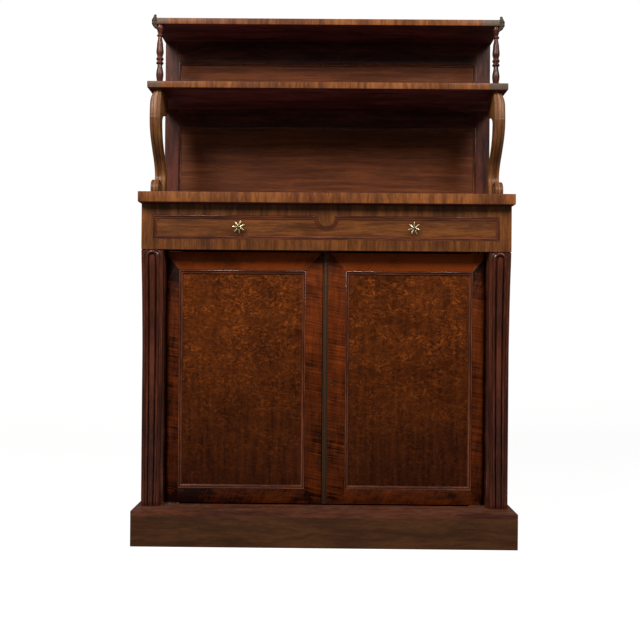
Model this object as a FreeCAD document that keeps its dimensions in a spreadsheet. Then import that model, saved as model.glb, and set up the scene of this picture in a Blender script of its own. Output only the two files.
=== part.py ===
"""Chiffonier: a two-door cupboard with a frieze drawer and an open two-tier superstructure.

The row frame is +X to the right, +Y to the back and +Z up, in millimetres. The origin lies on the
floor, in the middle of the footprint. The frieze plane is the front edge of the carcase sides:
depths are counted back from it, and frieze_y is where it lies in the row frame.
"""
import FreeCAD, Part
import math
import os
import re

Vector = FreeCAD.Vector

SIZES = [
    # carcase
    ("carcase_width", 960.0, "over the two sides"),
    ("carcase_depth", 313.0, "frieze plane to the back"),
    ("side_thickness", 19.0, "carcase sides"),
    ("back_thickness", 9.0, "carcase back boards"),
    ("main_top_height", 906.0, "floor to the top surface of the main top"),
    ("main_top_thickness", 27.0, "main top"),
    ("main_top_front", 51.0, "main top ahead of the frieze plane"),
    ("main_top_side", 5.0, "main top beyond each side"),
    # plinth
    ("plinth_height", 90.0, "floor to the top of the plinth"),
    ("plinth_front", 75.0, "plinth ahead of the frieze plane"),
    ("plinth_side", 11.3, "plinth beyond each side"),
    ("plinth_board", 20.0, "boards of the plinth frame"),
    ("plinth_lid", 12.0, "board that closes the plinth"),
    # drawer opening
    ("opening_height", 98.0, "drawer rail to the main top"),
    ("rail_height", 15.0, "drawer rail"),
    ("rail_depth", 60.0, "drawer rail, front to back"),
    ("runner_width", 20.0, "drawer runners"),
    ("dust_board_thickness", 6.0, "dust board"),
    ("catch_block_left", 43.0, "catch block, left of the middle"),
    ("catch_block_right", 28.0, "catch block, right of the middle"),
    ("catch_block_depth", 16.0, "catch block, front to back"),
    ("catch_block_gap", 1.3, "catch block above the doors"),
    # cupboard inside
    ("floor_thickness", 16.0, "cupboard floor"),
    ("floor_setback", 54.0, "cupboard floor, behind the frieze plane"),
    ("shelf_height", 340.0, "cupboard shelf underside above the plinth"),
    ("shelf_thickness", 16.0, "cupboard shelf"),
    ("shelf_setback", 70.0, "cupboard shelf, behind the frieze plane"),
    ("shelf_gap", 0.5, "cupboard shelf, clear of the sides and back"),
    ("bearer_size", 18.0, "shelf bearers"),
    # corner posts with carved scroll pilasters
    ("post_width", 57.0, "corner post with its pilaster"),
    ("post_depth", 45.0, "corner post behind the frieze plane"),
    ("pilaster_top_reach", 26.0, "pilaster nose ahead of the frieze plane"),
    ("pilaster_waist_reach", 9.0, "thinnest place ahead of the frieze plane"),
    ("pilaster_foot_reach", 14.0, "foot ahead of the frieze plane"),
    ("pilaster_foot_width", 44.0, "pilaster width at the foot"),
    ("pilaster_foot_inset", 4.0, "outer edge, taken in at the foot"),
    ("pilaster_top_gap", 2.0, "pilaster below the drawer front"),
    ("pilaster_nose_drop", 20.0, "nose below the pilaster's top"),
    ("pilaster_foot_rise", 10.0, "edge of the foot above the plinth"),
    ("pilaster_crown", 4.0, "back of the rolled top, ahead of the frieze plane"),
    ("reed_groove", 2.4, "width of the grooves that part the reeds"),
    ("reed_depth", 2.2, "depth of the grooves that part the reeds"),
    ("reed_pitch", 6.8, "middle of the pilaster to the first groove"),
    # doors
    ("door_setback", 20.0, "door face behind the frieze plane"),
    ("door_thickness", 22.0, "doors"),
    ("door_bottom_gap", 4.0, "door above the plinth"),
    ("door_top_gap", 9.0, "door below the drawer rail"),
    ("hanging_gap", 0.8, "hanging edge to the post"),
    ("meeting_gap", 1.8, "between the two doors"),
    ("meeting_strip_width", 13.0, "brass strip on the right door"),
    ("meeting_strip_thickness", 3.5, "brass strip on the right door"),
    ("hinge_stile", 33.7, "hinge stiles"),
    ("meeting_inner", 52.5, "middle of the cupboard to a meeting stile's inner edge"),
    ("door_top_rail", 47.5, "top rails of the doors"),
    ("door_bottom_rail", 37.0, "bottom rails of the doors"),
    ("panel_thickness", 8.0, "door panels"),
    ("panel_recess", 8.0, "door panel face behind the door face"),
    ("tongue", 6.0, "depth of every panel groove"),
    ("moulding_width", 10.5, "panel mouldings of the doors"),
    ("moulding_sink", 1.0, "moulding behind the face of its frame"),
    # pivots
    ("pivot_pin", 3.0, "radius of the pivot pins"),
    ("pin_clearance", 0.05, "running clearance of a pin, on the radius"),
    ("pivot_plate", 1.5, "thickness of the pivot plates"),
    ("pivot_plate_width", 14.0, "width of the pivot plates"),
    ("pivot_plate_length", 40.0, "length of the pivot plates"),
    ("pin_depth", 6.0, "pin beyond the plate it turns in"),
    ("end_gap", 1.0, "end of a pin or a thrown bolt, clear of its hole's floor"),
    # lock on the right door
    ("lock_height", 325.0, "middle of the lock above the plinth"),
    ("lock_case_width", 42.5, "lock case"),
    ("lock_case_height", 54.0, "lock case"),
    ("lock_case_depth", 12.5, "lock case"),
    ("lock_bolt_height", 13.4, "lock bolt"),
    ("lock_bolt_thickness", 5.4, "lock bolt"),
    ("lock_bolt_length", 15.0, "lock bolt"),
    ("bolt_clearance", 0.3, "around every sliding bolt"),
    ("lock_throw", 8.0, "travel of the lock bolt"),
    ("keyhole_offset", 16.6, "keyhole right of the middle"),
    ("keyhole_radius", 2.3, "keyhole"),
    ("escutcheon_width", 10.0, "escutcheon"),
    ("escutcheon_height", 15.0, "escutcheon"),
    ("escutcheon_thickness", 0.8, "escutcheon"),
    # bolts inside the left door
    ("door_bolt_size", 6.0, "square section of the two door bolts"),
    ("door_bolt_length", 62.0, "length of the two door bolts"),
    ("door_bolt_offset", 25.0, "door bolts left of the middle"),
    ("door_bolt_throw", 14.0, "travel of the two door bolts"),
    ("door_bolt_sink", 1.0, "tip of a drawn door bolt, inside the door's edge"),
    ("bolt_plate_length", 70.0, "plate that carries a door bolt"),
    ("bolt_plate_width", 18.0, "plate that carries a door bolt"),
    ("bolt_plate_thickness", 2.0, "plate that carries a door bolt"),
    ("bolt_keep_wall", 2.5, "wall of the keep round a door bolt"),
    ("bolt_keep_length", 20.0, "keep round a door bolt"),
    ("bolt_knob_radius", 4.0, "thumb knob of a door bolt"),
    ("bolt_knob_length", 7.0, "thumb knob of a door bolt"),
    # drawer
    ("drawer_front_height", 118.5, "drawer front"),
    ("drawer_front_thickness", 24.0, "drawer front"),
    ("drawer_top_gap", 1.0, "drawer front below the main top"),
    ("drawer_front_gap", 0.3, "drawer front ahead of the frieze plane"),
    ("drawer_side_gap", 2.5, "drawer sides clear of the carcase"),
    ("drawer_side_thickness", 10.0, "drawer sides"),
    ("drawer_end_gap", 7.3, "drawer clear of the carcase back"),
    ("drawer_side_top_gap", 3.0, "drawer sides below the main top"),
    ("drawer_run", 0.3, "drawer sides above the runners"),
    ("drawer_back_drop", 4.0, "drawer back below the sides"),
    ("drawer_bottom_thickness", 6.0, "drawer bottom"),
    ("drawer_bottom_lift", 4.0, "drawer bottom above the sides' lower edge"),
    ("border_side", 30.0, "cross-banded border at the ends of the drawer front"),
    ("border_top", 29.0, "cross-banded border along the top"),
    ("border_bottom", 27.0, "cross-banded border along the bottom"),
    ("drawer_recess", 6.0, "depth of the sunk field of the drawer front"),
    ("drawer_moulding", 10.0, "width of the moulding round the sunk field"),
    ("drawer_moulding_rise", 4.6, "thickness of the moulding round the sunk field"),
    ("arch_radius", 22.0, "half-round tongue that dips into the field"),
    # star knobs
    ("knob_offset", 227.0, "star knobs, each side of the middle"),
    ("knob_radius", 17.5, "point of a star to its middle"),
    ("knob_valley", 5.0, "notch of a star to its middle"),
    ("knob_points", 7, "points of a star"),
    ("knob_thickness", 4.0, "star"),
    ("knob_stem", 12.0, "star ahead of the sunk field"),
    ("knob_stem_radius", 4.5, "stem behind a star"),
    ("knob_boss_radius", 4.6, "boss in the middle of a star"),
    ("knob_boss_height", 3.0, "boss in the middle of a star"),
    # superstructure
    ("tier_side", 4.0, "middle shelf and top board beyond each side"),
    ("middle_shelf_rise", 311.0, "top of the middle shelf above the main top"),
    ("middle_shelf_thickness", 17.6, "middle shelf"),
    ("middle_shelf_setback", 49.0, "middle shelf behind the frieze plane"),
    ("top_board_rise", 512.0, "top of the top board above the main top"),
    ("top_board_thickness", 17.0, "top board"),
    ("top_board_setback", 140.0, "top board behind the frieze plane"),
    ("back_frame", 18.4, "thickness of the back frame"),
    ("back_stile", 40.0, "stiles of the back frame"),
    ("back_top_rail", 62.0, "top rail of the back frame"),
    ("back_middle_rail", 89.0, "middle rail of the back frame"),
    ("back_middle_rail_low", 245.0, "its lower edge above the main top"),
    ("back_bottom_rail", 46.0, "bottom rail of the back frame"),
    ("back_panel_thickness", 6.0, "panels of the back frame"),
    ("back_panel_recess", 7.0, "panel face behind the back frame's face"),
    ("back_moulding_width", 8.0, "panel mouldings of the back frame"),
    # consoles
    ("console_thickness", 31.0, "consoles, left to right"),
    ("console_inset", 6.0, "console in from the end of the middle shelf"),
    ("console_belly", 51.0, "belly behind the frieze plane"),
    ("console_waist", 132.0, "waist behind the frieze plane"),
    ("console_band", 22.0, "band of a console, front to back"),
    ("console_foot_radius", 27.0, "scroll foot"),
    ("console_foot_front", 75.5, "scroll foot behind the frieze plane"),
    ("console_heel", 108.0, "head of a console under the shelf, front to back"),
    ("console_heel_height", 62.0, "head of a console"),
    # turned columns and corner tips
    ("column_inset", 14.0, "column axis in from the end of the top board"),
    ("column_setback", 154.0, "column axis behind the frieze plane"),
    ("column_radius", 10.2, "largest radius of a column"),
    ("tip_width", 16.0, "corner tip, left to right"),
    ("tip_depth", 12.0, "corner tip, front to back"),
    ("tip_height", 10.0, "corner tip"),
]

LEVELS = [
    ("frieze_y", "(plinth_front - carcase_depth) / 2"),
    ("rear_y", "frieze_y + carcase_depth"),
    ("half_width", "carcase_width / 2"),
    ("inner_x", "half_width - side_thickness"),
    ("post_x", "half_width - post_width"),
    ("top_under", "main_top_height - main_top_thickness"),
    ("rail_top", "top_under - opening_height"),
    ("rail_under", "rail_top - rail_height"),
    ("back_face", "rear_y - back_thickness"),
    ("shelf_under", "plinth_height + shelf_height"),
    ("door_y", "frieze_y + door_setback"),
    ("door_back_y", "door_y + door_thickness"),
    ("door_low", "plinth_height + door_bottom_gap"),
    ("door_high", "rail_under - door_top_gap"),
    ("pivot_x", "post_x - hanging_gap - door_thickness / 2"),
    ("pivot_y", "door_y + door_thickness / 2"),
    ("hinge_inner", "pivot_x + door_thickness / 2 - hinge_stile"),
    ("right_edge", "-meeting_strip_width / 2"),
    ("left_edge", "right_edge - meeting_gap"),
    ("field_low", "door_low + door_bottom_rail"),
    ("field_high", "door_high - door_top_rail"),
    ("panel_y", "door_y + panel_recess"),
    ("lock_z", "plinth_height + lock_height"),
    ("lock_y", "door_back_y - lock_case_depth"),
    ("lock_bolt_y", "lock_y + lock_case_depth / 2"),
    ("drawer_high", "top_under - drawer_top_gap"),
    ("drawer_low", "drawer_high - drawer_front_height"),
    ("drawer_y", "frieze_y - drawer_front_gap"),
    ("drawer_face_y", "drawer_y - drawer_front_thickness"),
    ("drawer_half", "inner_x - drawer_side_gap"),
    ("drawer_depth", "back_face - drawer_end_gap - drawer_y"),
    ("drawer_rear", "drawer_y + drawer_depth"),
    ("drawer_side_low", "rail_top + drawer_run"),
    ("drawer_side_high", "top_under - drawer_side_top_gap"),
    ("drawer_floor", "drawer_side_low + drawer_bottom_lift"),
    ("back_frame_y", "rear_y - back_frame"),
    ("middle_shelf_top", "main_top_height + middle_shelf_rise"),
    ("middle_shelf_under", "middle_shelf_top - middle_shelf_thickness"),
    ("top_board_top", "main_top_height + top_board_rise"),
    ("top_board_under", "top_board_top - top_board_thickness"),
    ("column_height", "top_board_under - middle_shelf_top"),
    ("back_inner", "half_width - back_stile"),
    ("bottom_rail_top", "main_top_height + back_bottom_rail"),
    ("middle_rail_low", "main_top_height + back_middle_rail_low"),
    ("middle_rail_high", "middle_rail_low + back_middle_rail"),
    ("top_rail_low", "top_board_under - back_top_rail"),
    ("back_panel_y", "back_frame_y + back_panel_recess"),
    ("bolt_slide_y", "door_back_y + bolt_plate_thickness + bolt_clearance"),
    ("pilaster_high", "drawer_low - pilaster_top_gap"),
    ("tier_half_width", "half_width + tier_side"),
    ("console_outer", "tier_half_width - console_inset"),
    ("column_offset", "tier_half_width - column_inset"),
    ("knob_z", "drawer_low + (border_bottom + drawer_front_height - border_top) / 2"),
]

doc = FreeCAD.newDocument("chiffonier")


def fill_sheet(name, rows):
    """Add a spreadsheet with one named cell for each row of (alias, text)."""
    sheet = doc.addObject("Spreadsheet::Sheet", name)
    for number, (alias, text) in enumerate(rows, start=1):
        sheet.set(f"A{number}", alias)
        sheet.set(f"B{number}", text)
        sheet.setAlias(f"B{number}", alias)
    doc.recompute()
    return sheet


SHEET_OF = {alias: "dims" for alias, _, _ in SIZES}
SHEET_OF.update({alias: "levels" for alias, _ in LEVELS})


def bound(text, home=None):
    """The expression text with each alias led by the sheet that holds it."""
    def named(match):
        word = match.group(0)
        sheet = SHEET_OF.get(word)
        return word if sheet in (None, home) else f"{sheet}.{word}"
    return re.sub(r"[a-z][a-z_]*", named, text)


dims = fill_sheet("dims", [(alias, str(value)) for alias, value, _ in SIZES])
levels = fill_sheet("levels", [(alias, "=" + bound(text, "levels")) for alias, text in LEVELS])


def size(alias):
    """The present value of a named size or level."""
    sheet = dims if SHEET_OF[alias] == "dims" else levels
    return float(sheet.get(alias))


nodes = []


def node(piece, label):
    """Mark a document object as a finished sub-part, which its Label names."""
    piece.Label = label
    nodes.append(piece)
    return piece


def place(piece, x, y, z):
    """Bind the position of a document object to three expressions."""
    for axis, text in zip("xyz", (x, y, z)):
        piece.setExpression(f"Placement.Base.{axis}", bound(text))
    return piece


def block(name, x_span, y_span, z_span):
    """A board or block between three pairs of expressions."""
    box = doc.addObject("Part::Box", name)
    for prop, (low, high) in zip(("Length", "Width", "Height"), (x_span, y_span, z_span)):
        box.setExpression(prop, bound(f"({high}) - ({low})"))
    return place(box, x_span[0], y_span[0], z_span[0])


def rod(name, radius, length, base, axis="z"):
    """A round pin or hole that runs from base along +Z, +X or +Y."""
    turns = {"z": (Vector(0, 0, 1), 0), "x": (Vector(0, 1, 0), 90), "y": (Vector(1, 0, 0), -90)}
    cylinder = doc.addObject("Part::Cylinder", name)
    cylinder.setExpression("Radius", bound(radius))
    cylinder.setExpression("Height", bound(length))
    cylinder.Placement = FreeCAD.Placement(Vector(), FreeCAD.Rotation(*turns[axis]))
    return place(cylinder, *base)


def joined(kind, name, pieces):
    """A Part::MultiFuse, Part::MultiCommon or Part::Compound of several objects."""
    group = doc.addObject(f"Part::{kind}", name)
    if kind == "Compound":
        group.Links = pieces
    else:
        group.Shapes = pieces
    return group


def cut(name, base, tools):
    """The base with every tool taken away."""
    result = doc.addObject("Part::Cut", name)
    result.Base = base
    result.Tool = tools[0] if len(tools) == 1 else joined("MultiFuse", name + "_tools", tools)
    return result


def mirrored(name, source):
    """The source mirrored in the plane x = 0."""
    mirror = doc.addObject("Part::Mirroring", name)
    mirror.Source = source
    mirror.Normal = Vector(1, 0, 0)
    return mirror


def across(side, near, far):
    """The x span from near to far on the right (1) or left (-1) of the middle."""
    return (near, far) if side > 0 else (f"-({far})", f"-({near})")


def solid_from(name, shape):
    """A Part::Feature that holds a shape worked out from the sheet."""
    feature = doc.addObject("Part::Feature", name)
    feature.Shape = shape
    return feature


def body_with_sketch(name, plane):
    """A PartDesign body and a sketch on one of its own origin planes."""
    body = doc.addObject("PartDesign::Body", name)
    sketch = body.newObject("Sketcher::SketchObject", name + "_outline")
    support = [item for item in body.Origin.OriginFeatures if item.Role == plane][0]
    sketch.AttachmentSupport = [(support, "")]
    sketch.MapMode = "FlatFace"
    return body, sketch


def closed_lines(sketch, points):
    """Draw a closed polygon in a sketch."""
    for start, end in zip(points, points[1:] + points[:1]):
        sketch.addGeometry(Part.LineSegment(Vector(*start, 0), Vector(*end, 0)), False)


# ---------------------------------------------------------------- plinth and carcase
FULL_DEPTH = ("frieze_y", "rear_y")
PLINTH_HALF = "half_width + plinth_side"
PLINTH_Y = "frieze_y - plinth_front"
LID_LOW = "plinth_height - plinth_lid"
BOLT_LOW = "door_low + door_bolt_sink"
BOLT_HIGH = "door_high - door_bolt_sink"


def pin_holes(name, low, high):
    """The bores of one pair of door pins, on both sides."""
    return [rod(f"{name}_{side}", "pivot_pin + pin_clearance", f"({high}) - ({low})",
                (f"{side} * pivot_x", "pivot_y", low)) for side in (-1, 1)]


def keeper(name, low, high):
    """The square hole that takes the end of a door bolt."""
    reach = "door_bolt_size / 2 + 2 * bolt_clearance"
    middle = "bolt_slide_y + door_bolt_size / 2"
    return block(name, (f"-door_bolt_offset - ({reach})", f"-door_bolt_offset + {reach}"),
                 (f"{middle} - ({reach})", f"{middle} + {reach}"), (low, high))


def build_plinth():
    """The plinth frame and the board that closes it."""
    inner_half = f"{PLINTH_HALF} - plinth_board"
    front_back = f"{PLINTH_Y} + plinth_board"
    node(block("plinth_front_board", across(1, f"-({PLINTH_HALF})", PLINTH_HALF),
               (PLINTH_Y, front_back), ("0", LID_LOW)), "plinth_front")
    ends = [block(f"plinth_end_{side}", across(side, inner_half, PLINTH_HALF),
                  (front_back, "rear_y"), ("0", LID_LOW)) for side in (-1, 1)]
    node(joined("Compound", "plinth_ends", ends), "plinth_sides")
    node(block("plinth_back_board", (f"-({inner_half})", inner_half),
               ("rear_y - plinth_board", "rear_y"), ("0", LID_LOW)), "plinth_back")
    lid = block("plinth_lid_board", (f"-({PLINTH_HALF})", PLINTH_HALF), (PLINTH_Y, "rear_y"),
                (LID_LOW, "plinth_height"))
    hole_low = "plinth_height + pivot_plate - pin_depth - end_gap"
    holes = pin_holes("lid_pin_hole", hole_low, "plinth_height")
    holes.append(keeper("lid_keeper", f"{BOLT_LOW} - door_bolt_throw - end_gap", "plinth_height"))
    node(cut("plinth_lid_cut", lid, holes), "plinth_top")


def build_carcase():
    """The sides, back, rail, runners, dust board, floor, shelf and catch block."""
    for side, word in ((-1, "left"), (1, "right")):
        node(block(f"side_{word}", across(side, "inner_x", "half_width"), FULL_DEPTH,
                   ("plinth_height", "top_under")), f"carcase_side_{word}")
    inside = ("-inner_x", "inner_x")
    node(block("back_boards", inside, ("back_face", "rear_y"), ("plinth_height", "top_under")),
         "carcase_back")
    node(block("floor_board", inside, ("frieze_y + floor_setback", "back_face"),
               ("plinth_height", "plinth_height + floor_thickness")), "cupboard_floor")
    node(block("shelf_board", ("-inner_x + shelf_gap", "inner_x - shelf_gap"),
               ("frieze_y + shelf_setback", "back_face - shelf_gap"),
               ("shelf_under", "shelf_under + shelf_thickness")), "cupboard_shelf")
    bearers = [block(f"bearer_{side}", across(side, "inner_x - bearer_size", "inner_x"),
                     ("frieze_y + shelf_setback + bearer_size", "back_face"),
                     ("shelf_under - bearer_size", "shelf_under")) for side in (-1, 1)]
    node(joined("Compound", "bearers", bearers), "shelf_bearers")
    rail_back = "frieze_y + rail_depth"
    rail = block("rail_board", inside, ("frieze_y", rail_back), ("rail_under", "rail_top"))
    rail_hole_top = "rail_under - pivot_plate + pin_depth + end_gap"
    holes = pin_holes("rail_pin_hole", "rail_under", rail_hole_top)
    holes.append(keeper("rail_keeper", "rail_under", f"{BOLT_HIGH} + door_bolt_throw + end_gap"))
    node(cut("rail_cut", rail, holes), "drawer_rail")
    runners = [block(f"runner_{side}", across(side, "inner_x - runner_width", "inner_x"),
                     (rail_back, "back_face"), ("rail_under", "rail_top")) for side in (-1, 1)]
    node(joined("Compound", "runners", runners), "drawer_runners")
    dust_low = "(rail_under + rail_top - dust_board_thickness) / 2"
    node(block("dust", ("-inner_x + runner_width", "inner_x - runner_width"),
               (rail_back, "back_face"), (dust_low, f"{dust_low} + dust_board_thickness")),
         "dust_board")
    node(block("catch", ("-catch_block_left", "catch_block_right"),
               ("frieze_y", "frieze_y + catch_block_depth"),
               ("door_high + catch_block_gap", "rail_under")), "catch_block")
    node(block("top_slab", ("-half_width - main_top_side", "half_width + main_top_side"),
               ("frieze_y - main_top_front", "rear_y"), ("top_under", "main_top_height")),
         "main_top")


def curve(points):
    """A smooth edge in the YZ plane through points of (y, z)."""
    spline = Part.BSplineCurve()
    spline.interpolate([Vector(0, y, z) for y, z in points])
    return spline.toShape()


def line(start, end):
    """A straight edge in the YZ plane between two points of (y, z)."""
    return Part.makeLine(Vector(0, *start), Vector(0, *end))


def slab(edges, low_x, high_x):
    """A closed outline in the YZ plane, extruded from low_x to high_x."""
    face = Part.Face(Part.Wire(Part.sortEdges(edges)[0]))
    face.translate(Vector(low_x, 0, 0))
    return face.extrude(Vector(high_x - low_x, 0, 0))


def pilaster_front(sink):
    """Points of the pilaster's carved front, sunk behind its surface by a depth."""
    base = size("frieze_y") + sink
    low = size("plinth_height")
    tall = size("pilaster_high") - low
    top = size("pilaster_top_reach")
    waist = size("pilaster_waist_reach")
    foot = size("pilaster_foot_reach")
    blend = waist + (top - waist) * 0.5
    return [(base - foot, low + size("pilaster_foot_rise")),
            (base - 1.17 * waist, low + 0.12 * tall), (base - waist, low + 0.42 * tall),
            (base - 1.28 * waist, low + 0.66 * tall), (base - blend, low + 0.84 * tall),
            (base - top, low + tall - size("pilaster_nose_drop"))]


def pilaster_slab(sink, low_x, high_x):
    """The pilaster between two x values, from its sunk front back to the frieze plane."""
    front = pilaster_front(sink)
    low = size("plinth_height")
    high = size("pilaster_high")
    back = size("frieze_y")
    nose_y, nose_z = front[-1]
    toe_y, toe_z = front[0]
    roll = (nose_y + 0.13 * size("pilaster_top_reach"), high - 0.35 * size("pilaster_nose_drop"))
    crown = (back - size("pilaster_crown"), high)
    toe = (toe_y + 0.2 * size("pilaster_foot_reach"), low)
    edges = [curve(front), curve([(nose_y, nose_z), roll, crown]), line(crown, (back, high)),
             line((back, high), (back, low)), line((back, low), toe), line(toe, (toe_y, toe_z))]
    return slab(edges, low_x, high_x)


def taper(low_width, high_width, foot_inset):
    """A prism as wide as the tapering pilaster, seen from the front, on the right side."""
    outer = size("half_width")
    low = size("plinth_height")
    high = size("drawer_low")
    deep = size("pilaster_top_reach") + size("post_depth")
    corners = [(outer - foot_inset - low_width, low), (outer - foot_inset, low),
               (outer, high), (outer - high_width, high)]
    y = size("frieze_y") - deep
    face = Part.Face(Part.makePolygon([Vector(x, y, z) for x, z in corners + corners[:1]]))
    return face.extrude(Vector(0, 2 * deep, 0))


def build_pilasters():
    """Corner posts with a carved, tapering scroll front parted into reeds."""
    outer = size("half_width")
    inner = size("post_x")
    middle = (outer + inner) / 2
    carved = pilaster_slab(0, inner, outer)
    carved = carved.common(taper(size("pilaster_foot_width"), size("post_width"),
                                 size("pilaster_foot_inset")))
    half_groove = size("reed_groove") / 2
    sunk = pilaster_slab(size("reed_depth"), inner, outer)
    crown = size("pilaster_high") - size("pilaster_top_reach")
    for step in (-2, -1, 1, 2):
        x = middle + step * size("reed_pitch")
        channel = Part.makeBox(2 * half_groove, 2 * size("post_width"), crown,
                               Vector(x - half_groove, size("frieze_y") - size("post_width"), 0))
        carved = carved.cut(channel.cut(sunk))
    post = Part.makeBox(size("inner_x") - inner, size("post_depth"),
                        size("rail_under") - size("plinth_height"),
                        Vector(inner, size("frieze_y"), size("plinth_height")))
    right = solid_from("pilaster_carving", carved.fuse(post).removeSplitter())
    node(right, "pilaster_right")
    node(mirrored("pilaster_mirror", right), "pilaster_left")


# ---------------------------------------------------------------- framed panels
def mitred_strip(length, width, rise):
    """A mitred ovolo strip: x runs along it, z into the field and y from panel to face."""
    step = rise / 5
    corner = [Vector(0, 0, 0), Vector(0, -rise, 0), Vector(0, -rise, width / 5)]
    nose = Part.Arc(corner[2], Vector(0, -rise * 0.78, width * 0.78),
                    Vector(0, -step, width)).toShape()
    end = Vector(0, 0, width)
    outline = [Part.makeLine(corner[0], corner[1]), Part.makeLine(corner[1], corner[2]), nose,
               Part.makeLine(Vector(0, -step, width), end), Part.makeLine(end, corner[0])]
    bar = Part.Face(Part.Wire(outline)).extrude(Vector(length, 0, 0))
    flat = [Vector(0, -rise, 0), Vector(length, -rise, 0), Vector(length - width, -rise, width),
            Vector(width, -rise, width), Vector(0, -rise, 0)]
    return bar.common(Part.Face(Part.makePolygon(flat)).extrude(Vector(0, rise, 0)))


def moulding_frame(low_x, high_x, low_z, high_z, panel_y, width, rise):
    """Four mitred strips round a field, as separate solids."""
    wide = high_x - low_x
    tall = high_z - low_z
    corners = [(low_x, low_z, 0, wide), (high_x, low_z, -90, tall), (high_x, high_z, 180, wide),
               (low_x, high_z, 90, tall)]
    strips = []
    for x, z, turn, length in corners:
        strip = mitred_strip(length, width, rise)
        strip.Placement = FreeCAD.Placement(Vector(x, panel_y, z),
                                            FreeCAD.Rotation(Vector(0, 1, 0), turn))
        strips.append(strip)
    return strips


def grooved(name, board, x_span, y_span, z_span):
    """A frame member with a panel groove cut in it."""
    return cut(name, board, [block(name + "_groove", x_span, y_span, z_span)])


# ---------------------------------------------------------------- doors
DOOR_Y = ("door_y", "door_back_y")
PANEL_Y = ("panel_y", "panel_y + panel_thickness")
DOOR_Z = ("door_low", "door_high")


def build_door(side, word, meeting_edge):
    """One framed door: stiles, rails, panel, moulding and its two pivots."""
    hinge_x = across(side, "hinge_inner", "pivot_x")
    stem = block(f"{word}_hinge_stem", hinge_x, DOOR_Y, DOOR_Z)
    rounded = rod(f"{word}_hanging_edge", "door_thickness / 2", "door_high - door_low",
                  (f"{side} * pivot_x", "pivot_y", "door_low"))
    stile = joined("MultiFuse", f"{word}_hinge_stile_board", [stem, rounded])
    groove_z = ("field_low - tongue", "field_high + tongue")
    node(grooved(f"{word}_hinge_stile_cut", stile, across(side, "hinge_inner", "hinge_inner + tongue"),
                 PANEL_Y, groove_z), f"{word}_door_hinge_stile")

    meeting = block(f"{word}_meeting_board", across(side, meeting_edge, "meeting_inner"), DOOR_Y,
                    DOOR_Z)
    groove = block(f"{word}_meeting_groove", across(side, "meeting_inner - tongue", "meeting_inner"),
                   PANEL_Y, groove_z)
    tools = [groove] + (lock_cuts() if side > 0 else [strike_cut()])
    node(cut(f"{word}_meeting_cut", meeting, tools), f"{word}_door_meeting_stile")

    rail_x = across(side, "meeting_inner", "hinge_inner")
    for name, low, high, groove_low in (("top_rail", "field_high", "door_high", "field_high"),
                                        ("bottom_rail", "door_low", "field_low",
                                         "field_low - tongue")):
        rail = block(f"{word}_{name}_board", rail_x, DOOR_Y, (low, high))
        node(grooved(f"{word}_{name}_cut", rail, rail_x, PANEL_Y,
                     (groove_low, f"{groove_low} + tongue")), f"{word}_door_{name}")
    node(block(f"{word}_panel", across(side, "meeting_inner - tongue", "hinge_inner + tongue"),
               PANEL_Y, groove_z), f"{word}_door_panel")

    near, far = sorted((side * size("meeting_inner"), side * size("hinge_inner")))
    strips = moulding_frame(near, far, size("field_low"), size("field_high"), size("panel_y"),
                            size("moulding_width"), size("panel_recess") - size("moulding_sink"))
    node(solid_from(f"{word}_moulding_strips", Part.makeCompound(strips)), f"{word}_door_moulding")

    plate_x = across(side, "pivot_x - pivot_plate_length + door_thickness / 2",
                     "pivot_x + pivot_plate_width / 2")
    plate_y = ("pivot_y - pivot_plate_width / 2", "pivot_y + pivot_plate_width / 2")
    pivots = []
    for name, plate_low, pin_low, pin_high in (
            ("low", "door_low - pivot_plate", "plinth_height + pivot_plate - pin_depth",
             "door_low - pivot_plate"),
            ("high", "door_high", "door_high + pivot_plate",
             "rail_under - pivot_plate + pin_depth")):
        plate = block(f"{word}_{name}_plate", plate_x, plate_y,
                      (plate_low, f"{plate_low} + pivot_plate"))
        pin = rod(f"{word}_{name}_pin", "pivot_pin", f"({pin_high}) - ({pin_low})",
                  (f"{side} * pivot_x", "pivot_y", pin_low))
        pivots.append(joined("MultiFuse", f"{word}_{name}_pivot", [plate, pin]))
    node(joined("Compound", f"{word}_pivot_pair", pivots), f"{word}_door_pivots")


def build_pivot_sockets():
    """The four brass plates in which the door pins turn."""
    plates = []
    for side in (-1, 1):
        for name, low in (("low", "plinth_height"), ("high", "rail_under - pivot_plate")):
            plate = block(f"socket_{name}_{side}",
                          across(side, "pivot_x - pivot_plate_length + door_thickness / 2",
                                 "post_x"),
                          ("pivot_y - pivot_plate_width / 2", "pivot_y + pivot_plate_width / 2"),
                          (low, f"{low} + pivot_plate"))
            bore = rod(f"socket_bore_{name}_{side}", "pivot_pin + pin_clearance", "pivot_plate",
                       (f"{side} * pivot_x", "pivot_y", low))
            plates.append(cut(f"socket_plate_{name}_{side}", plate, [bore]))
    node(joined("Compound", "sockets", plates), "pivot_sockets")


# ---------------------------------------------------------------- lock and bolts
LOCK_BACK = ("lock_y", "door_back_y")
LOCK_Z = ("lock_z - lock_case_height / 2", "lock_z + lock_case_height / 2")


def bolt_span(middle, thickness, clearance):
    """The span of a bolt or its slot about a middle."""
    return (f"{middle} - {thickness} / 2 - {clearance}", f"{middle} + {thickness} / 2 + {clearance}")


def keyhole(name, low_y, length):
    """A round keyhole with a slot below it, along Y."""
    hole = rod(name + "_eye", "keyhole_radius", length, ("keyhole_offset", low_y, "lock_z"), "y")
    slot = block(name + "_slot", ("keyhole_offset - keyhole_radius / 2",
                                  "keyhole_offset + keyhole_radius / 2"),
                 (low_y, f"{low_y} + {length}"), ("lock_z - 2.4 * keyhole_radius", "lock_z"))
    return [hole, slot]


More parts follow.
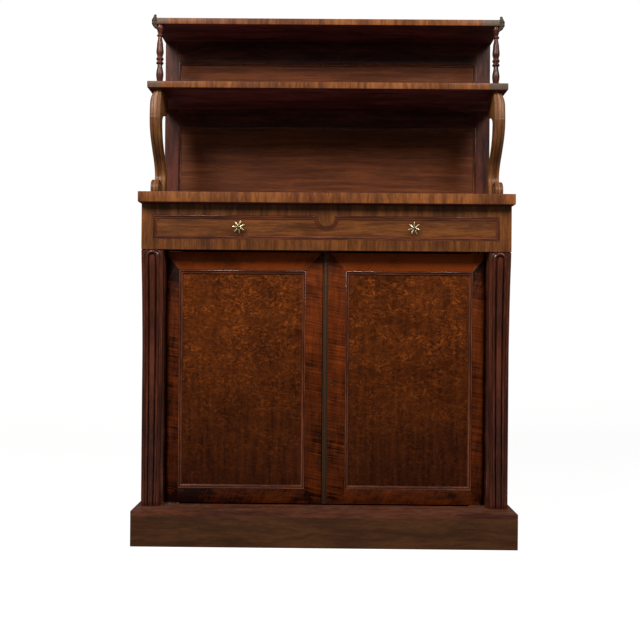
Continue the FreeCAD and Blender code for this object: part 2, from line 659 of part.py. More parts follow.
def lock_cuts():
    """What the lock takes out of the right door's meeting stile."""
    pocket = block("lock_pocket", ("right_edge", "right_edge + lock_case_width"), LOCK_BACK, LOCK_Z)
    return [pocket] + keyhole("stile_keyhole", "door_y", "lock_y - door_y")


def strike_cut():
    """The mortice in the left door's meeting stile that takes the lock bolt."""
    return block("strike_mortice", ("left_edge - lock_throw - end_gap", "left_edge"),
                 bolt_span("lock_bolt_y", "lock_bolt_thickness", "2 * bolt_clearance"),
                 bolt_span("lock_z", "lock_bolt_height", "2 * bolt_clearance"))


def build_lock():
    """The lock case, its bolt, the escutcheon and the meeting strip of the right door."""
    case = block("lock_case_block", ("right_edge", "right_edge + lock_case_width"), LOCK_BACK, LOCK_Z)
    slot = block("lock_slot", ("right_edge", "right_edge + lock_bolt_length + 2 * bolt_clearance"),
                 bolt_span("lock_bolt_y", "lock_bolt_thickness", "bolt_clearance"),
                 bolt_span("lock_z", "lock_bolt_height", "bolt_clearance"))
    node(cut("lock_case_cut", case, [slot] + keyhole("case_keyhole", "lock_y", "lock_case_depth / 2")),
         "lock_case")
    node(block("lock_bolt_bar", ("right_edge + bolt_clearance",
                                 "right_edge + bolt_clearance + lock_bolt_length"),
               bolt_span("lock_bolt_y", "lock_bolt_thickness", "0"),
               bolt_span("lock_z", "lock_bolt_height", "0")), "lock_bolt")
    plate = block("escutcheon_plate",
                  ("keyhole_offset - escutcheon_width / 2", "keyhole_offset + escutcheon_width / 2"),
                  ("door_y - escutcheon_thickness", "door_y"),
                  ("lock_z - 0.62 * escutcheon_height", "lock_z + 0.38 * escutcheon_height"))
    node(cut("escutcheon_cut", plate, keyhole("escutcheon_keyhole", "door_y - escutcheon_thickness",
                                              "escutcheon_thickness")), "escutcheon")
    node(block("strip_bar", ("-meeting_strip_width / 2", "meeting_strip_width / 2"),
               ("door_y - meeting_strip_thickness", "door_y"), DOOR_Z), "meeting_strip")


def door_bolt(word, tip, inward):
    """A square door bolt with a thumb knob; inward is the way from its tip into the door."""
    tail = f"{tip} + {inward} * door_bolt_length"
    span = (tip, tail) if inward > 0 else (tail, tip)
    bar = block(f"{word}_bar", bolt_span("-door_bolt_offset", "door_bolt_size", "0"),
                ("bolt_slide_y", "bolt_slide_y + door_bolt_size"), span)
    knob_z = f"{tail} - {inward} * 2 * bolt_knob_radius"
    knob = rod(f"{word}_thumb", "bolt_knob_radius", "bolt_knob_length",
               ("-door_bolt_offset", "bolt_slide_y + door_bolt_size / 2", knob_z), "y")
    node(joined("MultiFuse", f"{word}_whole", [bar, knob]), word)


def bolt_plate(word, tip, inward):
    """The plate and keep that carry one door bolt on the back of the left door."""
    far = f"{tip} + {inward} * bolt_plate_length"
    span = (tip, far) if inward > 0 else (far, tip)
    plate = block(f"{word}_plate", bolt_span("-door_bolt_offset", "bolt_plate_width", "0"),
                  ("door_back_y", "door_back_y + bolt_plate_thickness"), span)
    keep_near = f"{tip} + {inward} * bolt_keep_length / 2"
    keep_far = f"{keep_near} + {inward} * bolt_keep_length"
    keep_z = (keep_near, keep_far) if inward > 0 else (keep_far, keep_near)
    keep = block(f"{word}_keep", bolt_span("-door_bolt_offset", "door_bolt_size",
                                           "(bolt_clearance + bolt_keep_wall)"),
                 ("door_back_y + bolt_plate_thickness",
                  "bolt_slide_y + door_bolt_size + bolt_clearance + bolt_keep_wall"), keep_z)
    way = block(f"{word}_way", bolt_span("-door_bolt_offset", "door_bolt_size", "bolt_clearance"),
                ("door_back_y + bolt_plate_thickness",
                 "bolt_slide_y + door_bolt_size + bolt_clearance"), keep_z)
    return joined("MultiFuse", f"{word}_set", [plate, cut(f"{word}_keep_cut", keep, [way])])


def build_door_bolts():
    """The two bolts that hold the left door, with their plates."""
    ends = (("door_bolt_top", BOLT_HIGH, -1), ("door_bolt_bottom", BOLT_LOW, 1))
    for word, tip, inward in ends:
        door_bolt(word, tip, inward)
    plates = [bolt_plate(f"{word}_carrier", tip, inward) for word, tip, inward in ends]
    node(joined("Compound", "bolt_carriers", plates), "door_bolt_plates")


# ---------------------------------------------------------------- drawer
def field_outline(inset):
    """The closed outline of the sunk field with the half-round tongue, moved inwards by inset."""
    half = size("half_width") - size("border_side") - inset
    low = size("drawer_low") + size("border_bottom") + inset
    high = size("drawer_high") - size("border_top") - inset
    centre_z = size("drawer_high") - size("border_top") - size("drawer_moulding") / 2
    radius = size("arch_radius") + inset
    rise = high - centre_z
    points = [(-half, high), (-half, low), (half, low), (half, high)]
    path = [Part.makeLine(Vector(a, 0, b), Vector(c, 0, d))
            for (a, b), (c, d) in zip(points, points[1:])]
    reach = math.sqrt(radius ** 2 - rise ** 2) if rise < 0 else radius
    start = min(rise, 0)
    if rise > 0:
        for turn in (-1, 1):
            path.append(Part.makeLine(Vector(turn * radius, 0, high),
                                      Vector(turn * radius, 0, centre_z)))
    path.append(Part.makeLine(Vector(half, 0, high), Vector(reach, 0, high)))
    path.append(Part.makeLine(Vector(-reach, 0, high), Vector(-half, 0, high)))
    path.append(Part.Arc(Vector(reach, 0, centre_z + start), Vector(0, 0, centre_z - radius),
                         Vector(-reach, 0, centre_z + start)).toShape())
    return Part.Face(Part.Wire(Part.sortEdges(path)[0]))


def build_drawer_front():
    """The drawer front with its sunk field, and the moulding round the field."""
    slab_box = block("front_board", ("-half_width", "half_width"), ("drawer_face_y", "drawer_y"),
                     ("drawer_low", "drawer_high"))
    face_y = size("drawer_face_y")
    field = field_outline(0)
    field.translate(Vector(0, face_y, 0))
    recess = solid_from("field_recess", field.extrude(Vector(0, size("drawer_recess"), 0)))
    node(cut("front_cut", slab_box, [recess]), "drawer_front")
    floor_y = face_y + size("drawer_recess")
    rise = Vector(0, -size("drawer_moulding_rise"), 0)
    outer = field_outline(0)
    inner = field_outline(size("drawer_moulding"))
    for outline in (outer, inner):
        outline.translate(Vector(0, floor_y, 0))
    band = outer.extrude(rise).cut(inner.extrude(rise))
    node(solid_from("field_moulding", band), "drawer_moulding")


def build_drawer_box():
    """The sides, back and bottom of the drawer."""
    inner = "drawer_half - drawer_side_thickness"
    for side, word in ((-1, "left"), (1, "right")):
        node(block(f"drawer_board_{word}", across(side, inner, "drawer_half"),
                   ("drawer_y", "drawer_rear"), ("drawer_side_low", "drawer_side_high")),
             f"drawer_side_{word}")
    bottom_top = "drawer_floor + drawer_bottom_thickness"
    node(block("drawer_bottom_board", (f"-({inner})", inner), ("drawer_y", "drawer_rear"),
               ("drawer_floor", bottom_top)), "drawer_bottom")
    node(block("drawer_back_board", (f"-({inner})", inner),
               ("drawer_rear - drawer_side_thickness", "drawer_rear"),
               (bottom_top, "drawer_side_high - drawer_back_drop")), "drawer_back")


def build_knobs():
    """Two star knobs, each with a boss in front and a stem behind."""
    body, outline = body_with_sketch("star_knob", "XZ_Plane")
    count = int(size("knob_points"))
    ring = []
    for step in range(2 * count):
        radius = size("knob_radius") if step % 2 == 0 else size("knob_valley")
        angle = math.pi * (step / count + 0.5)
        ring.append((radius * math.cos(angle), radius * math.sin(angle)))
    closed_lines(outline, ring)
    star = body.newObject("PartDesign::Pad", "star")
    star.Profile = outline
    star.setExpression("Length", bound("knob_thickness"))
    doc.recompute()
    body.Tip = star
    # the XZ plane's normal is -Y, so the pad grows to the front
    place(body, "knob_offset", "drawer_face_y + drawer_recess - knob_stem", "knob_z")
    front = "drawer_face_y + drawer_recess"
    stem = rod("knob_stem_rod", "knob_stem_radius", "knob_stem",
               ("knob_offset", f"{front} - knob_stem", "knob_z"), "y")
    boss = rod("knob_boss_rod", "knob_boss_radius", "knob_thickness + knob_boss_height",
               ("knob_offset", f"{front} - knob_stem - knob_thickness - knob_boss_height",
                "knob_z"), "y")
    right = joined("MultiFuse", "knob_right", [body, stem, boss])
    node(joined("Compound", "knob_pair", [right, mirrored("knob_left", right)]), "star_knobs")


# ---------------------------------------------------------------- superstructure
BACK_Y = ("back_frame_y", "rear_y")
BACK_PANEL_Y = ("back_panel_y", "back_panel_y + back_panel_thickness")
BACK_FIELDS = (("lower", "bottom_rail_top", "middle_rail_low"),
               ("upper", "middle_rail_high", "top_rail_low"))


def build_back_frame():
    """The framed back of the two tiers: stiles, rails, panels and their mouldings."""
    for side, word in ((-1, "left"), (1, "right")):
        stile = block(f"back_{word}_board", across(side, "back_inner", "half_width"), BACK_Y,
                      ("main_top_height", "top_board_under"))
        grooves = [block(f"back_{word}_{name}_groove", across(side, "back_inner",
                                                              "back_inner + tongue"),
                         BACK_PANEL_Y, (f"{low} - tongue", f"{high} + tongue"))
                   for name, low, high in BACK_FIELDS]
        node(cut(f"back_{word}_cut", stile, grooves), f"back_stile_{word}")
    rail_x = ("-back_inner", "back_inner")
    rails = (("bottom", "main_top_height", "bottom_rail_top"),
             ("middle", "middle_rail_low", "middle_rail_high"),
             ("top", "top_rail_low", "top_board_under"))
    for name, low, high in rails:
        rail = block(f"back_{name}_board", rail_x, BACK_Y, (low, high))
        grooves = []
        if name != "bottom":
            grooves.append(block(f"back_{name}_under_groove", rail_x, BACK_PANEL_Y,
                                 (low, f"{low} + tongue")))
        if name != "top":
            grooves.append(block(f"back_{name}_over_groove", rail_x, BACK_PANEL_Y,
                                 (f"{high} - tongue", high)))
        node(cut(f"back_{name}_cut", rail, grooves), f"back_rail_{name}")
    strips = []
    for name, low, high in BACK_FIELDS:
        node(block(f"back_{name}_board", ("-back_inner - tongue", "back_inner + tongue"),
                   BACK_PANEL_Y, (f"{low} - tongue", f"{high} + tongue")), f"back_panel_{name}")
        strips += moulding_frame(-size("back_inner"), size("back_inner"), size(low), size(high),
                                 size("back_panel_y"), size("back_moulding_width"),
                                 size("back_panel_recess") - size("moulding_sink"))
    node(solid_from("back_strips", Part.makeCompound(strips)), "back_mouldings")


def build_tiers():
    """The middle shelf and the top board."""
    span = ("-tier_half_width", "tier_half_width")
    node(block("middle_board", span, ("frieze_y + middle_shelf_setback", "back_frame_y"),
               ("middle_shelf_under", "middle_shelf_top")), "middle_shelf")
    node(block("top_slab_board", span, ("frieze_y + top_board_setback", "rear_y"),
               ("top_board_under", "top_board_top")), "top_board")


CONSOLE_HEAD_FRONT = [  # share of the head's depth behind the belly, share of its height down
    (0.52, 0.0), (0.25, 0.2), (0.12, 0.5), (0.046, 0.87),
]
CONSOLE_HEAD_REAR = [
    (1.0, 0.0), (1.0, 0.47), (0.92, 0.78), (0.735, 0.95), (0.53, 1.0), (0.36, 1.15),
]
CONSOLE_BAND = [  # share of the way from belly to waist, share of the height, share of the band
    (0.0, 0.72, 1.36), (0.05, 0.644, 1.23), (0.17, 0.566, 1.09), (0.37, 0.491, 0.95),
    (0.59, 0.423, 0.91), (0.815, 0.355, 0.86), (0.963, 0.286, 0.86), (1.0, 0.235, 0.95),
]


def build_consoles():
    """S-scroll consoles between the main top and the middle shelf."""
    low = size("main_top_height")
    high = size("middle_shelf_under")
    tall = high - low
    belly = size("frieze_y") + size("console_belly")
    sweep = size("console_waist") - size("console_belly")
    band = size("console_band")
    foot = size("console_foot_radius")
    thick = size("console_thickness")
    hub_y, hub_z = size("frieze_y") + size("console_foot_front") + foot, low + foot

    def head(outline):
        """Points of the head from shares of its depth and height."""
        return [(belly + back * size("console_heel"), high - down * size("console_heel_height"))
                for back, down in outline]

    neck = (hub_y + 0.7 * foot, hub_z + 0.7 * foot)
    heel = (belly + sweep + 1.2 * band, hub_z + 0.42 * foot)
    front = head(CONSOLE_HEAD_FRONT) + [(belly + back * sweep, low + up * tall)
                                        for back, up, _ in CONSOLE_BAND] + [neck]
    corner, *arch = head(CONSOLE_HEAD_REAR)
    rear = arch + [(belly + back * sweep + share * band, low + up * tall)
                   for back, up, share in CONSOLE_BAND] + [heel]
    edges = [curve(front), line(front[0], corner), line(corner, rear[0]), curve(rear),
             line(heel, neck)]
    toe = [neck, heel, (heel[0] - 0.1 * band, low), (hub_y, low), (hub_y, hub_z)]
    toe_edges = [line(start, end) for start, end in zip(toe, toe[1:] + toe[:1])]
    disc = Part.makeCylinder(foot, thick, Vector(0, hub_y, hub_z), Vector(1, 0, 0))
    whole = slab(edges, 0, thick).fuse([disc, slab(toe_edges, 0, thick)]).removeSplitter()
    right = solid_from("console_scroll", whole)
    right.Placement.Base = Vector(size("console_outer") - thick, 0, 0)
    node(right, "console_right")
    node(mirrored("console_mirror", right), "console_left")


COLUMN_PROFILE = [  # share of the height, share of the largest radius
    (0.0, 0.96), (0.06, 0.96), (0.07, 0.82), (0.11, 0.84), (0.235, 0.95), (0.30, 0.88),
    (0.41, 0.70), (0.425, 0.92), (0.455, 0.98), (0.46, 0.84), (0.475, 0.84), (0.48, 1.0),
    (0.52, 1.0), (0.53, 0.80), (0.56, 0.88), (0.60, 0.90), (0.70, 0.78), (0.80, 0.62),
    (0.835, 0.58), (0.84, 0.68), (0.86, 0.68), (0.865, 0.58), (0.93, 0.66), (0.95, 0.88),
    (1.0, 0.92),
]


def build_columns():
    """Two turned columns between the middle shelf and the top board."""
    body, outline = body_with_sketch("column", "XZ_Plane")
    tall = size("column_height")
    widest = size("column_radius")
    points = [(share * widest, level * tall) for level, share in COLUMN_PROFILE]
    closed_lines(outline, [(0, 0)] + points + [(0, tall)])
    turning = body.newObject("PartDesign::Revolution", "turning")
    turning.Profile = outline
    turning.ReferenceAxis = (outline, ["V_Axis"])
    turning.Angle = 360
    doc.recompute()
    body.Tip = turning
    place(body, "column_offset", "frieze_y + column_setback", "middle_shelf_top")
    node(joined("Compound", "column_pair", [body, mirrored("column_left", body)]),
         "turned_columns")


def build_tips():
    """Small leaf-shaped tips on the front corners of the top board."""
    outer = size("tier_half_width")
    wide = size("tip_width")
    low = size("top_board_top")
    peak = Vector(outer - 0.35 * wide, 0, low + size("tip_height"))
    left = Vector(outer - wide, 0, low)
    right = Vector(outer, 0, low)
    tall = size("tip_height")
    edges = [Part.makeLine(left, right),
             Part.Arc(right, Vector(outer - 0.02 * wide, 0, low + 0.5 * tall), peak).toShape(),
             Part.Arc(peak, Vector(outer - 0.62 * wide, 0, low + 0.36 * tall), left).toShape()]
    leaf = Part.Face(Part.Wire(edges)).extrude(Vector(0, size("tip_depth"), 0))
    leaf.translate(Vector(0, size("frieze_y") + size("top_board_setback"), 0))
    right_tip = solid_from("tip_right", leaf)
    node(joined("Compound", "tip_pair", [right_tip, mirrored("tip_left", right_tip)]),
         "corner_tips")


def check_and_export():
    """Stop on any failed object, then write one STEP file for each node."""
    doc.recompute()
    for item in doc.Objects:
        if {"Invalid", "Error"} & set(item.State):
            raise RuntimeError(f"{item.Name} ({item.Label}) failed: {item.State}")
    os.makedirs("parts", exist_ok=True)
    for piece in nodes:
        shape = piece.Shape
        if shape.isNull() or not shape.isValid() or shape.Volume <= 0:
            raise RuntimeError(f"{piece.Label} has no valid shape")
        shape.exportStep(os.path.join("parts", piece.Label + ".step"))
        print(f"{piece.Label}: {len(shape.Solids)} solid(s), {shape.Volume / 1000:.1f} cm3")
    print(len(nodes), "nodes")


build_plinth()
build_carcase()
build_pilasters()
build_pivot_sockets()
build_door(-1, "left", "-left_edge")
build_door(1, "right", "right_edge")
build_lock()
build_door_bolts()
build_drawer_front()
build_drawer_box()
build_knobs()
build_back_frame()
build_tiers()
build_consoles()
build_columns()
build_tips()
check_and_export()
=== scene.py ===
"""Chiffonier: its finishes, its carving and turning, its brass and the studio that it stands in.

Everything is in metres in the row frame: +X right, +Y back, +Z up, origin on the floor.
"""
import math

import bmesh
import bpy
import numpy as np
from bpy.props import FloatProperty, FloatVectorProperty, IntProperty, PointerProperty
from mathutils import Matrix, Vector


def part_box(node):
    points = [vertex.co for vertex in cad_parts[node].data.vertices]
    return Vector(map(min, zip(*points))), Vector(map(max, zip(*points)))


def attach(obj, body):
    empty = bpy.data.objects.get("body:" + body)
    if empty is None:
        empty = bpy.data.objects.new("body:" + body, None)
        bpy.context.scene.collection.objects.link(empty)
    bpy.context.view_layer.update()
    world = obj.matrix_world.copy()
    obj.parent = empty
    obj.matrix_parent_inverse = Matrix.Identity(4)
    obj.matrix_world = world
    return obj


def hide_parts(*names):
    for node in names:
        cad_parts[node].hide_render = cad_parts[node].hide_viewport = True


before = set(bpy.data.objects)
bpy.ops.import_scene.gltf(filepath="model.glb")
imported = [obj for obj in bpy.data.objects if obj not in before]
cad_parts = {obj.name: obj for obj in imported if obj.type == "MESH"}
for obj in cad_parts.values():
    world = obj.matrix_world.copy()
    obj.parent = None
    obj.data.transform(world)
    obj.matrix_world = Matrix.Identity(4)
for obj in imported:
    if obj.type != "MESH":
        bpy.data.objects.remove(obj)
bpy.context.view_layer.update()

bl_info = {
    "name": "Chiffonier",
    "version": (1, 0, 0),
    "blender": (4, 5, 0),
    "location": "View3D > Sidebar > Chiffonier",
    "description": "Finishes and finer pieces of a chiffonier with a shelved superstructure",
    "category": "Object",
}

MM = 0.001
WELD = 1e-6
FRIEZE_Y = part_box("carcase_side_right")[0][1]


# ---------------------------------------------------------------- what a user would change
def colour(name, description, default):
    """A colour property in linear light."""
    return FloatVectorProperty(name=name, description=description, subtype="COLOR", size=3,
                               min=0.0, max=1.0, default=default)


def length(name, description, default):
    """A length property in metres."""
    return FloatProperty(name=name, description=description, subtype="DISTANCE", unit="LENGTH",
                         min=0.0, default=default, precision=5)


class ChiffonierFinish(bpy.types.PropertyGroup):
    """Colours of the woods and metals."""
    case_dark: colour("Case, dark", "Dark streaks of the case wood", (0.026, 0.0062, 0.004))
    case_light: colour("Case, light", "Light streaks of the case wood", (0.12, 0.03, 0.0155))
    # Painted light: the undersides are coloured lighter than the case wood, standing in for light bounced
    # up under the boards.
    shade_dark: colour("Undersides, dark", "Dark streaks under the boards", (0.053, 0.0135, 0.012))
    shade_light: colour("Undersides, light", "Light streaks under the boards", (0.225, 0.054, 0.048))
    edge_dark: colour("Edges, dark", "Dark blocks of the cross-banded edges", (0.091, 0.0248, 0.0053))
    edge_light: colour("Edges, light", "Light blocks of the cross-banded edges", (0.265, 0.087, 0.0205))
    lid_dark: colour("Plinth lid, dark", "Dark streaks of the plinth's lid", (0.045, 0.012, 0.006))
    lid_light: colour("Plinth lid, light", "Light streaks of the plinth's lid", (0.125, 0.036, 0.016))
    plinth_dark: colour("Plinth, dark", "Dark streaks of the plinth", (0.037, 0.013, 0.0045))
    plinth_light: colour("Plinth, light", "Light streaks of the plinth", (0.086, 0.031, 0.0095))
    door_dark: colour("Door frames, dark", "Dark clouds of the door frames", (0.0085, 0.0016, 0.0005))
    door_light: colour("Door frames, light", "Light ripples of the door frames", (0.225, 0.04, 0.0044))
    panel_dark: colour("Panels, dark", "Ground of the door panels", (0.0185, 0.003, 0.0005))
    panel_light: colour("Panels, light", "Flecks of the door panels", (0.235, 0.0535, 0.0062))
    carved_dark: colour("Pilasters, dark", "Hollows of the pilasters", (0.026, 0.006, 0.0034))
    carved_light: colour("Pilasters, light", "Crests of the pilasters", (0.118, 0.03, 0.0135))
    console_dark: colour("Consoles, dark", "Hollows of the consoles", (0.085, 0.03, 0.0088))
    console_light: colour("Consoles, light", "Crests of the consoles", (0.33, 0.128, 0.038))
    leaf_dark: colour("Leaves, dark", "Hollows of the corner leaves", (0.018, 0.012, 0.0075))
    leaf_light: colour("Leaves, light", "Crests of the corner leaves", (0.105, 0.078, 0.050))
    moulding_dark: colour("Mouldings, dark", "Dark streaks of the mouldings", (0.04, 0.0092, 0.0036))
    moulding_light: colour("Mouldings, light", "Light streaks of the mouldings", (0.175, 0.047, 0.0185))
    back_dark: colour("Back panels, dark", "Dark streaks of the back panels", (0.072, 0.017, 0.0046))
    back_light: colour("Back panels, light", "Light streaks of the back panels", (0.185, 0.05, 0.0125))
    lining_dark: colour("Lining, dark", "Dark streaks of the drawer lining", (0.085, 0.0115, 0.0044))
    lining_light: colour("Lining, light", "Light streaks of the drawer lining", (0.3, 0.052, 0.019))
    front_dark: colour("Drawer front, dark", "Dark streaks of the drawer front", (0.058, 0.016, 0.0034))
    front_light: colour("Drawer front, light", "Light streaks of the drawer front", (0.182, 0.058, 0.012))
    pine_dark: colour("Pine, dark", "Dark streaks of the unpolished wood", (0.16, 0.080, 0.034))
    pine_light: colour("Pine, light", "Light streaks of the unpolished wood", (0.37, 0.215, 0.105))
    brass_bright: colour("Brass, bright", "Rubbed brass", (0.90, 0.78, 0.52))
    brass_dull: colour("Brass, dull", "Tarnished brass", (0.22, 0.17, 0.085))
    strip_bright: colour("Strip, bright", "Rubbed places of the meeting strip", (0.14, 0.074, 0.04))
    strip_dull: colour("Strip, dull", "Tarnish of the meeting strip", (0.046, 0.024, 0.013))
    iron_bright: colour("Iron, bright", "Rubbed iron", (0.26, 0.24, 0.22))
    iron_dull: colour("Iron, dull", "Dull iron", (0.035, 0.030, 0.027))


class ChiffonierSizes(bpy.types.PropertyGroup):
    """Sizes of the finer work."""
    arris: length("Arris", "Rounding of the boards' edges", 0.0009)
    deep_groove: length("Deep groove", "Depth of the groove round a pilaster's middle reed", 0.0070)
    reed_rise: length("Reed", "Rise of the reeds on the pilasters", 0.0026)
    band_groove: length("Band groove", "Depth of the grooves on the consoles", 0.0016)
    door_moulding: length("Door moulding", "Width of the mouldings round the door panels", 0.0105)
    back_moulding: length("Back moulding", "Width of the mouldings of the framed back", 0.0080)
    bead: length("Escutcheon bead", "Thickness of the bead round the keyhole", 0.0009)
    turning_steps: IntProperty(name="Turning steps", description="Facets round a turned piece",
                               min=12, max=128, default=56)


class ChiffonierStudio(bpy.types.PropertyGroup):
    """The light and the lens."""
    lens: FloatProperty(name="Lens", description="Focal length on a 36 mm sensor",
                        subtype="DISTANCE_CAMERA", min=10.0, default=49.33)
    key_power: FloatProperty(name="Key light", description="Power of the key light", unit="POWER",
                             min=0.0, default=105.0)
    fill_power: FloatProperty(name="Second light", description="Power of the light from the right",
                              unit="POWER", min=0.0, default=72.0)
    sky: FloatProperty(name="Surroundings", description="Strength of the light from all round",
                       min=0.0, default=0.17)
    paper_glow: FloatProperty(name="Paper", description="How far the paper is lifted towards white",
                              min=0.0, default=0.90)


# ---------------------------------------------------------------- surfaces
def running(points, wrap=False):
    """Running length along a row of points: 0, |p1 - p0|, |p1 - p0| + |p2 - p1| and so on."""
    closed = np.concatenate([points, points[:1]]) if wrap else points
    return np.concatenate([[0.0], np.cumsum(np.linalg.norm(np.diff(closed, axis=0), axis=1))])


def skin_of(points, loops, counts, uv, paint):
    """A skin: points, each face's corners one after another, corners to a face, map and paint.

    It is turned so that its volume, the sum of a . (b x c) / 6 over its corners, is positive.
    """
    start = np.cumsum(counts) - counts
    a, b, c = (points[loops[start + i]] for i in range(3))
    d = points[loops[start + np.minimum(3, counts - 1)]]
    volume = np.einsum("ij,ij->", a, np.cross(b, c)) + np.einsum("ij,ij->", a, np.cross(c, d))
    paint = np.broadcast_to(paint, counts.shape)
    skin = (points, loops, counts, uv, paint)
    return skin if volume > 0 else turned(skin)


def turned(skin):
    """The skin inside out: its corners, faces and maps in reverse."""
    return (skin[0],) + tuple(part[::-1] for part in skin[1:])


def shell(grid, wrap_cols=True, wrap_rows=False, along="rows", uv=None, paint=0):
    """A closed skin from a grid of points (rows, cols, 3).

    Each face joins (r, c), (r + 1, c), (r + 1, c + 1) and (r, c + 1). Open ends are closed by fans
    about their middles. The map gives metres along the grain and across it: the rows' or columns'
    running length, or uv = (along, across) of the grid's own shape.
    """
    rows, cols = grid.shape[:2]
    r, c = np.meshgrid(np.arange(rows if wrap_rows else rows - 1),
                       np.arange(cols if wrap_cols else cols - 1), indexing="ij")
    face_r = np.stack([r, r + 1, r + 1, r], -1).reshape(-1, 4)
    face_c = np.stack([c, c, c + 1, c + 1], -1).reshape(-1, 4)
    loops = ((face_r % rows) * cols + face_c % cols).ravel()
    if uv is None:
        pair = running(grid[:, 0], wrap_rows)[face_r], running(grid[rows // 2], wrap_cols)[face_c]
        maps = np.stack(pair if along == "rows" else pair[::-1], -1)
    else:
        maps = np.stack([part[face_r % rows, face_c % cols] for part in uv], -1)
    points = grid.reshape(-1, 3)
    maps = maps.reshape(-1, 2)
    counts = np.full(len(face_r), 4)
    if not wrap_rows:
        ring = np.arange(cols)
        for row, order in ((0, ring), (rows - 1, ring[::-1])):
            fan = np.stack([order + row * cols, np.roll(order, -1) + row * cols,
                            np.full(cols, len(points))], -1).ravel()
            points = np.vstack([points, grid[row].mean(0)])
            loops = np.concatenate([loops, fan])
            maps = np.vstack([maps, points[fan][:, [0, 2]]])
            counts = np.concatenate([counts, np.full(cols, 3)])
    return skin_of(points, loops, counts, maps, paint)


def mirrored(skin):
    """The skin mirrored in the plane x = 0, and turned so that its faces still point outwards."""
    return turned((skin[0] * (-1, 1, 1),) + skin[1:])


def moved(skin, offset):
    """The skin moved by an offset."""
    return (skin[0] + np.asarray(offset),) + skin[1:]


def build(name, skins, materials, body, replaces=(), sharp=32):
    """One object of several skins, at the origin, riding on a body and standing for CAD nodes."""
    base = np.cumsum([0] + [len(skin[0]) for skin in skins])
    points = np.vstack([skin[0] for skin in skins])
    loops = np.concatenate([skin[1] + shift for skin, shift in zip(skins, base)])
    counts, paint = (np.concatenate([skin[i] for skin in skins]) for i in (2, 4))
    mesh = bpy.data.meshes.new(name)
    mesh.vertices.add(len(points))
    mesh.vertices.foreach_set("co", points.astype(np.float32).ravel())
    mesh.loops.add(len(loops))
    mesh.loops.foreach_set("vertex_index", loops.astype(np.int32))
    mesh.polygons.add(len(counts))
    mesh.polygons.foreach_set("loop_start", (np.cumsum(counts) - counts).astype(np.int32))
    mesh.polygons.foreach_set("material_index", paint.astype(np.int32))
    mesh.polygons.foreach_set("use_smooth", np.ones(len(counts), bool))
    mesh.update(calc_edges=True)
    layer = mesh.uv_layers.new(name="grain")
    layer.uv.foreach_set("vector", np.vstack([skin[3] for skin in skins]).astype(np.float32).ravel())
    mesh.set_sharp_from_angle(angle=math.radians(sharp))
    piece = bpy.data.objects.new(name, mesh)
    bpy.context.scene.collection.objects.link(piece)
    for material in materials:
        mesh.materials.append(material)
    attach(piece, body)
    if replaces:
        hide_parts(*replaces)
    return piece


def arc(centre, radius, start, end, steps):
    """Points centre + radius (cos a, sin a) for a from start to end, in degrees."""
    angle = np.radians(np.linspace(start, end, steps))
    return np.stack([centre[0] + radius * np.cos(angle), centre[1] + radius * np.sin(angle)], -1)


def flowing(points, per_span):
    """A smooth curve through 2-D points: Catmull-Rom spans, each a cubic of its four nearest points."""
    p = np.asarray(points, float)
    p = np.vstack([2 * p[0] - p[1], p, 2 * p[-1] - p[-2]])
    t = np.linspace(0, 1, per_span, endpoint=False)[:, None]
    spans = [0.5 * (2 * b + (c - a) * t + (2 * a - 5 * b + 4 * c - d) * t ** 2
                    + (3 * b - a - 3 * c + d) * t ** 3)
             for a, b, c, d in zip(p, p[1:], p[2:], p[3:])]
    return np.vstack(spans + [p[-2:-1]])


def normals_of(path):
    """Unit normals (-tz, ty) of a path of (y, z) points, from its tangent (ty, tz)."""
    tangent = np.gradient(path, axis=0)
    tangent /= np.linalg.norm(tangent, axis=1)[:, None]
    return np.stack([-tangent[:, 1], tangent[:, 0]], -1)


def evenly(points, count):
    """The path taken again at equal steps of its running length."""
    along = running(points)
    steps = np.linspace(0, along[-1], count)
    return np.stack([np.interp(steps, along, part) for part in points.T], -1)


def smooth(low, high, value):
    """0 below low, 1 above high and 3u^2 - 2u^3 between."""
    u = np.clip((value - low) / (high - low), 0, 1)
    return u * u * (3 - 2 * u)


def eased_block(low, high, ease, along="z", turns=4):
    """A block with rounded arrises: rings of a rounded rectangle, inset by ease (1 - sin a) at a
    height of ease (1 - cos a) from each end."""
    low, high = np.asarray(low, float), np.asarray(high, float)
    ease = min(ease, 0.49 * float((high - low).min()))
    rise = np.radians(np.linspace(12, 90, turns))
    corner = np.array([[1, 1], [-1, 1], [-1, -1], [1, -1]])
    sweep = np.radians(np.linspace(0, 90, turns))
    rings = []
    for at_top, angles in ((False, rise), (True, rise[::-1])):
        for a in angles:
            ring = []
            for quarter, (sx, sy) in enumerate(corner):
                cx = (high[0] - ease) if sx > 0 else (low[0] + ease)
                cy = (high[1] - ease) if sy > 0 else (low[1] + ease)
                turn = sweep + quarter * math.pi / 2
                ring.append(np.stack([cx + ease * math.sin(a) * np.cos(turn),
                                      cy + ease * math.sin(a) * np.sin(turn)], -1))
            ring = np.vstack(ring)
            step = ease * (1 - math.cos(a))
            z = high[2] - step if at_top else low[2] + step
            rings.append(np.column_stack([ring, np.full(len(ring), z)]))
    grid = np.array(rings)
    axes = {"x": (0, 2), "z": (2, 0)}[along]
    return shell(grid, uv=(grid[..., axes[0]], grid[..., axes[1]]))


def lathe(profile, steps, centre, axis="z", paint=0):
    """A turned skin: each (radius, height) of the profile becomes a ring about the axis."""
    turn = np.linspace(0, 2 * math.pi, steps, endpoint=False)
    radius, height = np.asarray(profile, float).T
    a = radius[:, None] * np.cos(turn)
    b = radius[:, None] * np.sin(turn)
    rise = np.broadcast_to(height[:, None], a.shape)
    order = {"z": (a, b, rise), "y": (a, -rise, b), "x": (rise, a, b)}[axis]
    return shell(np.stack(order, -1) + np.asarray(centre), paint=paint)


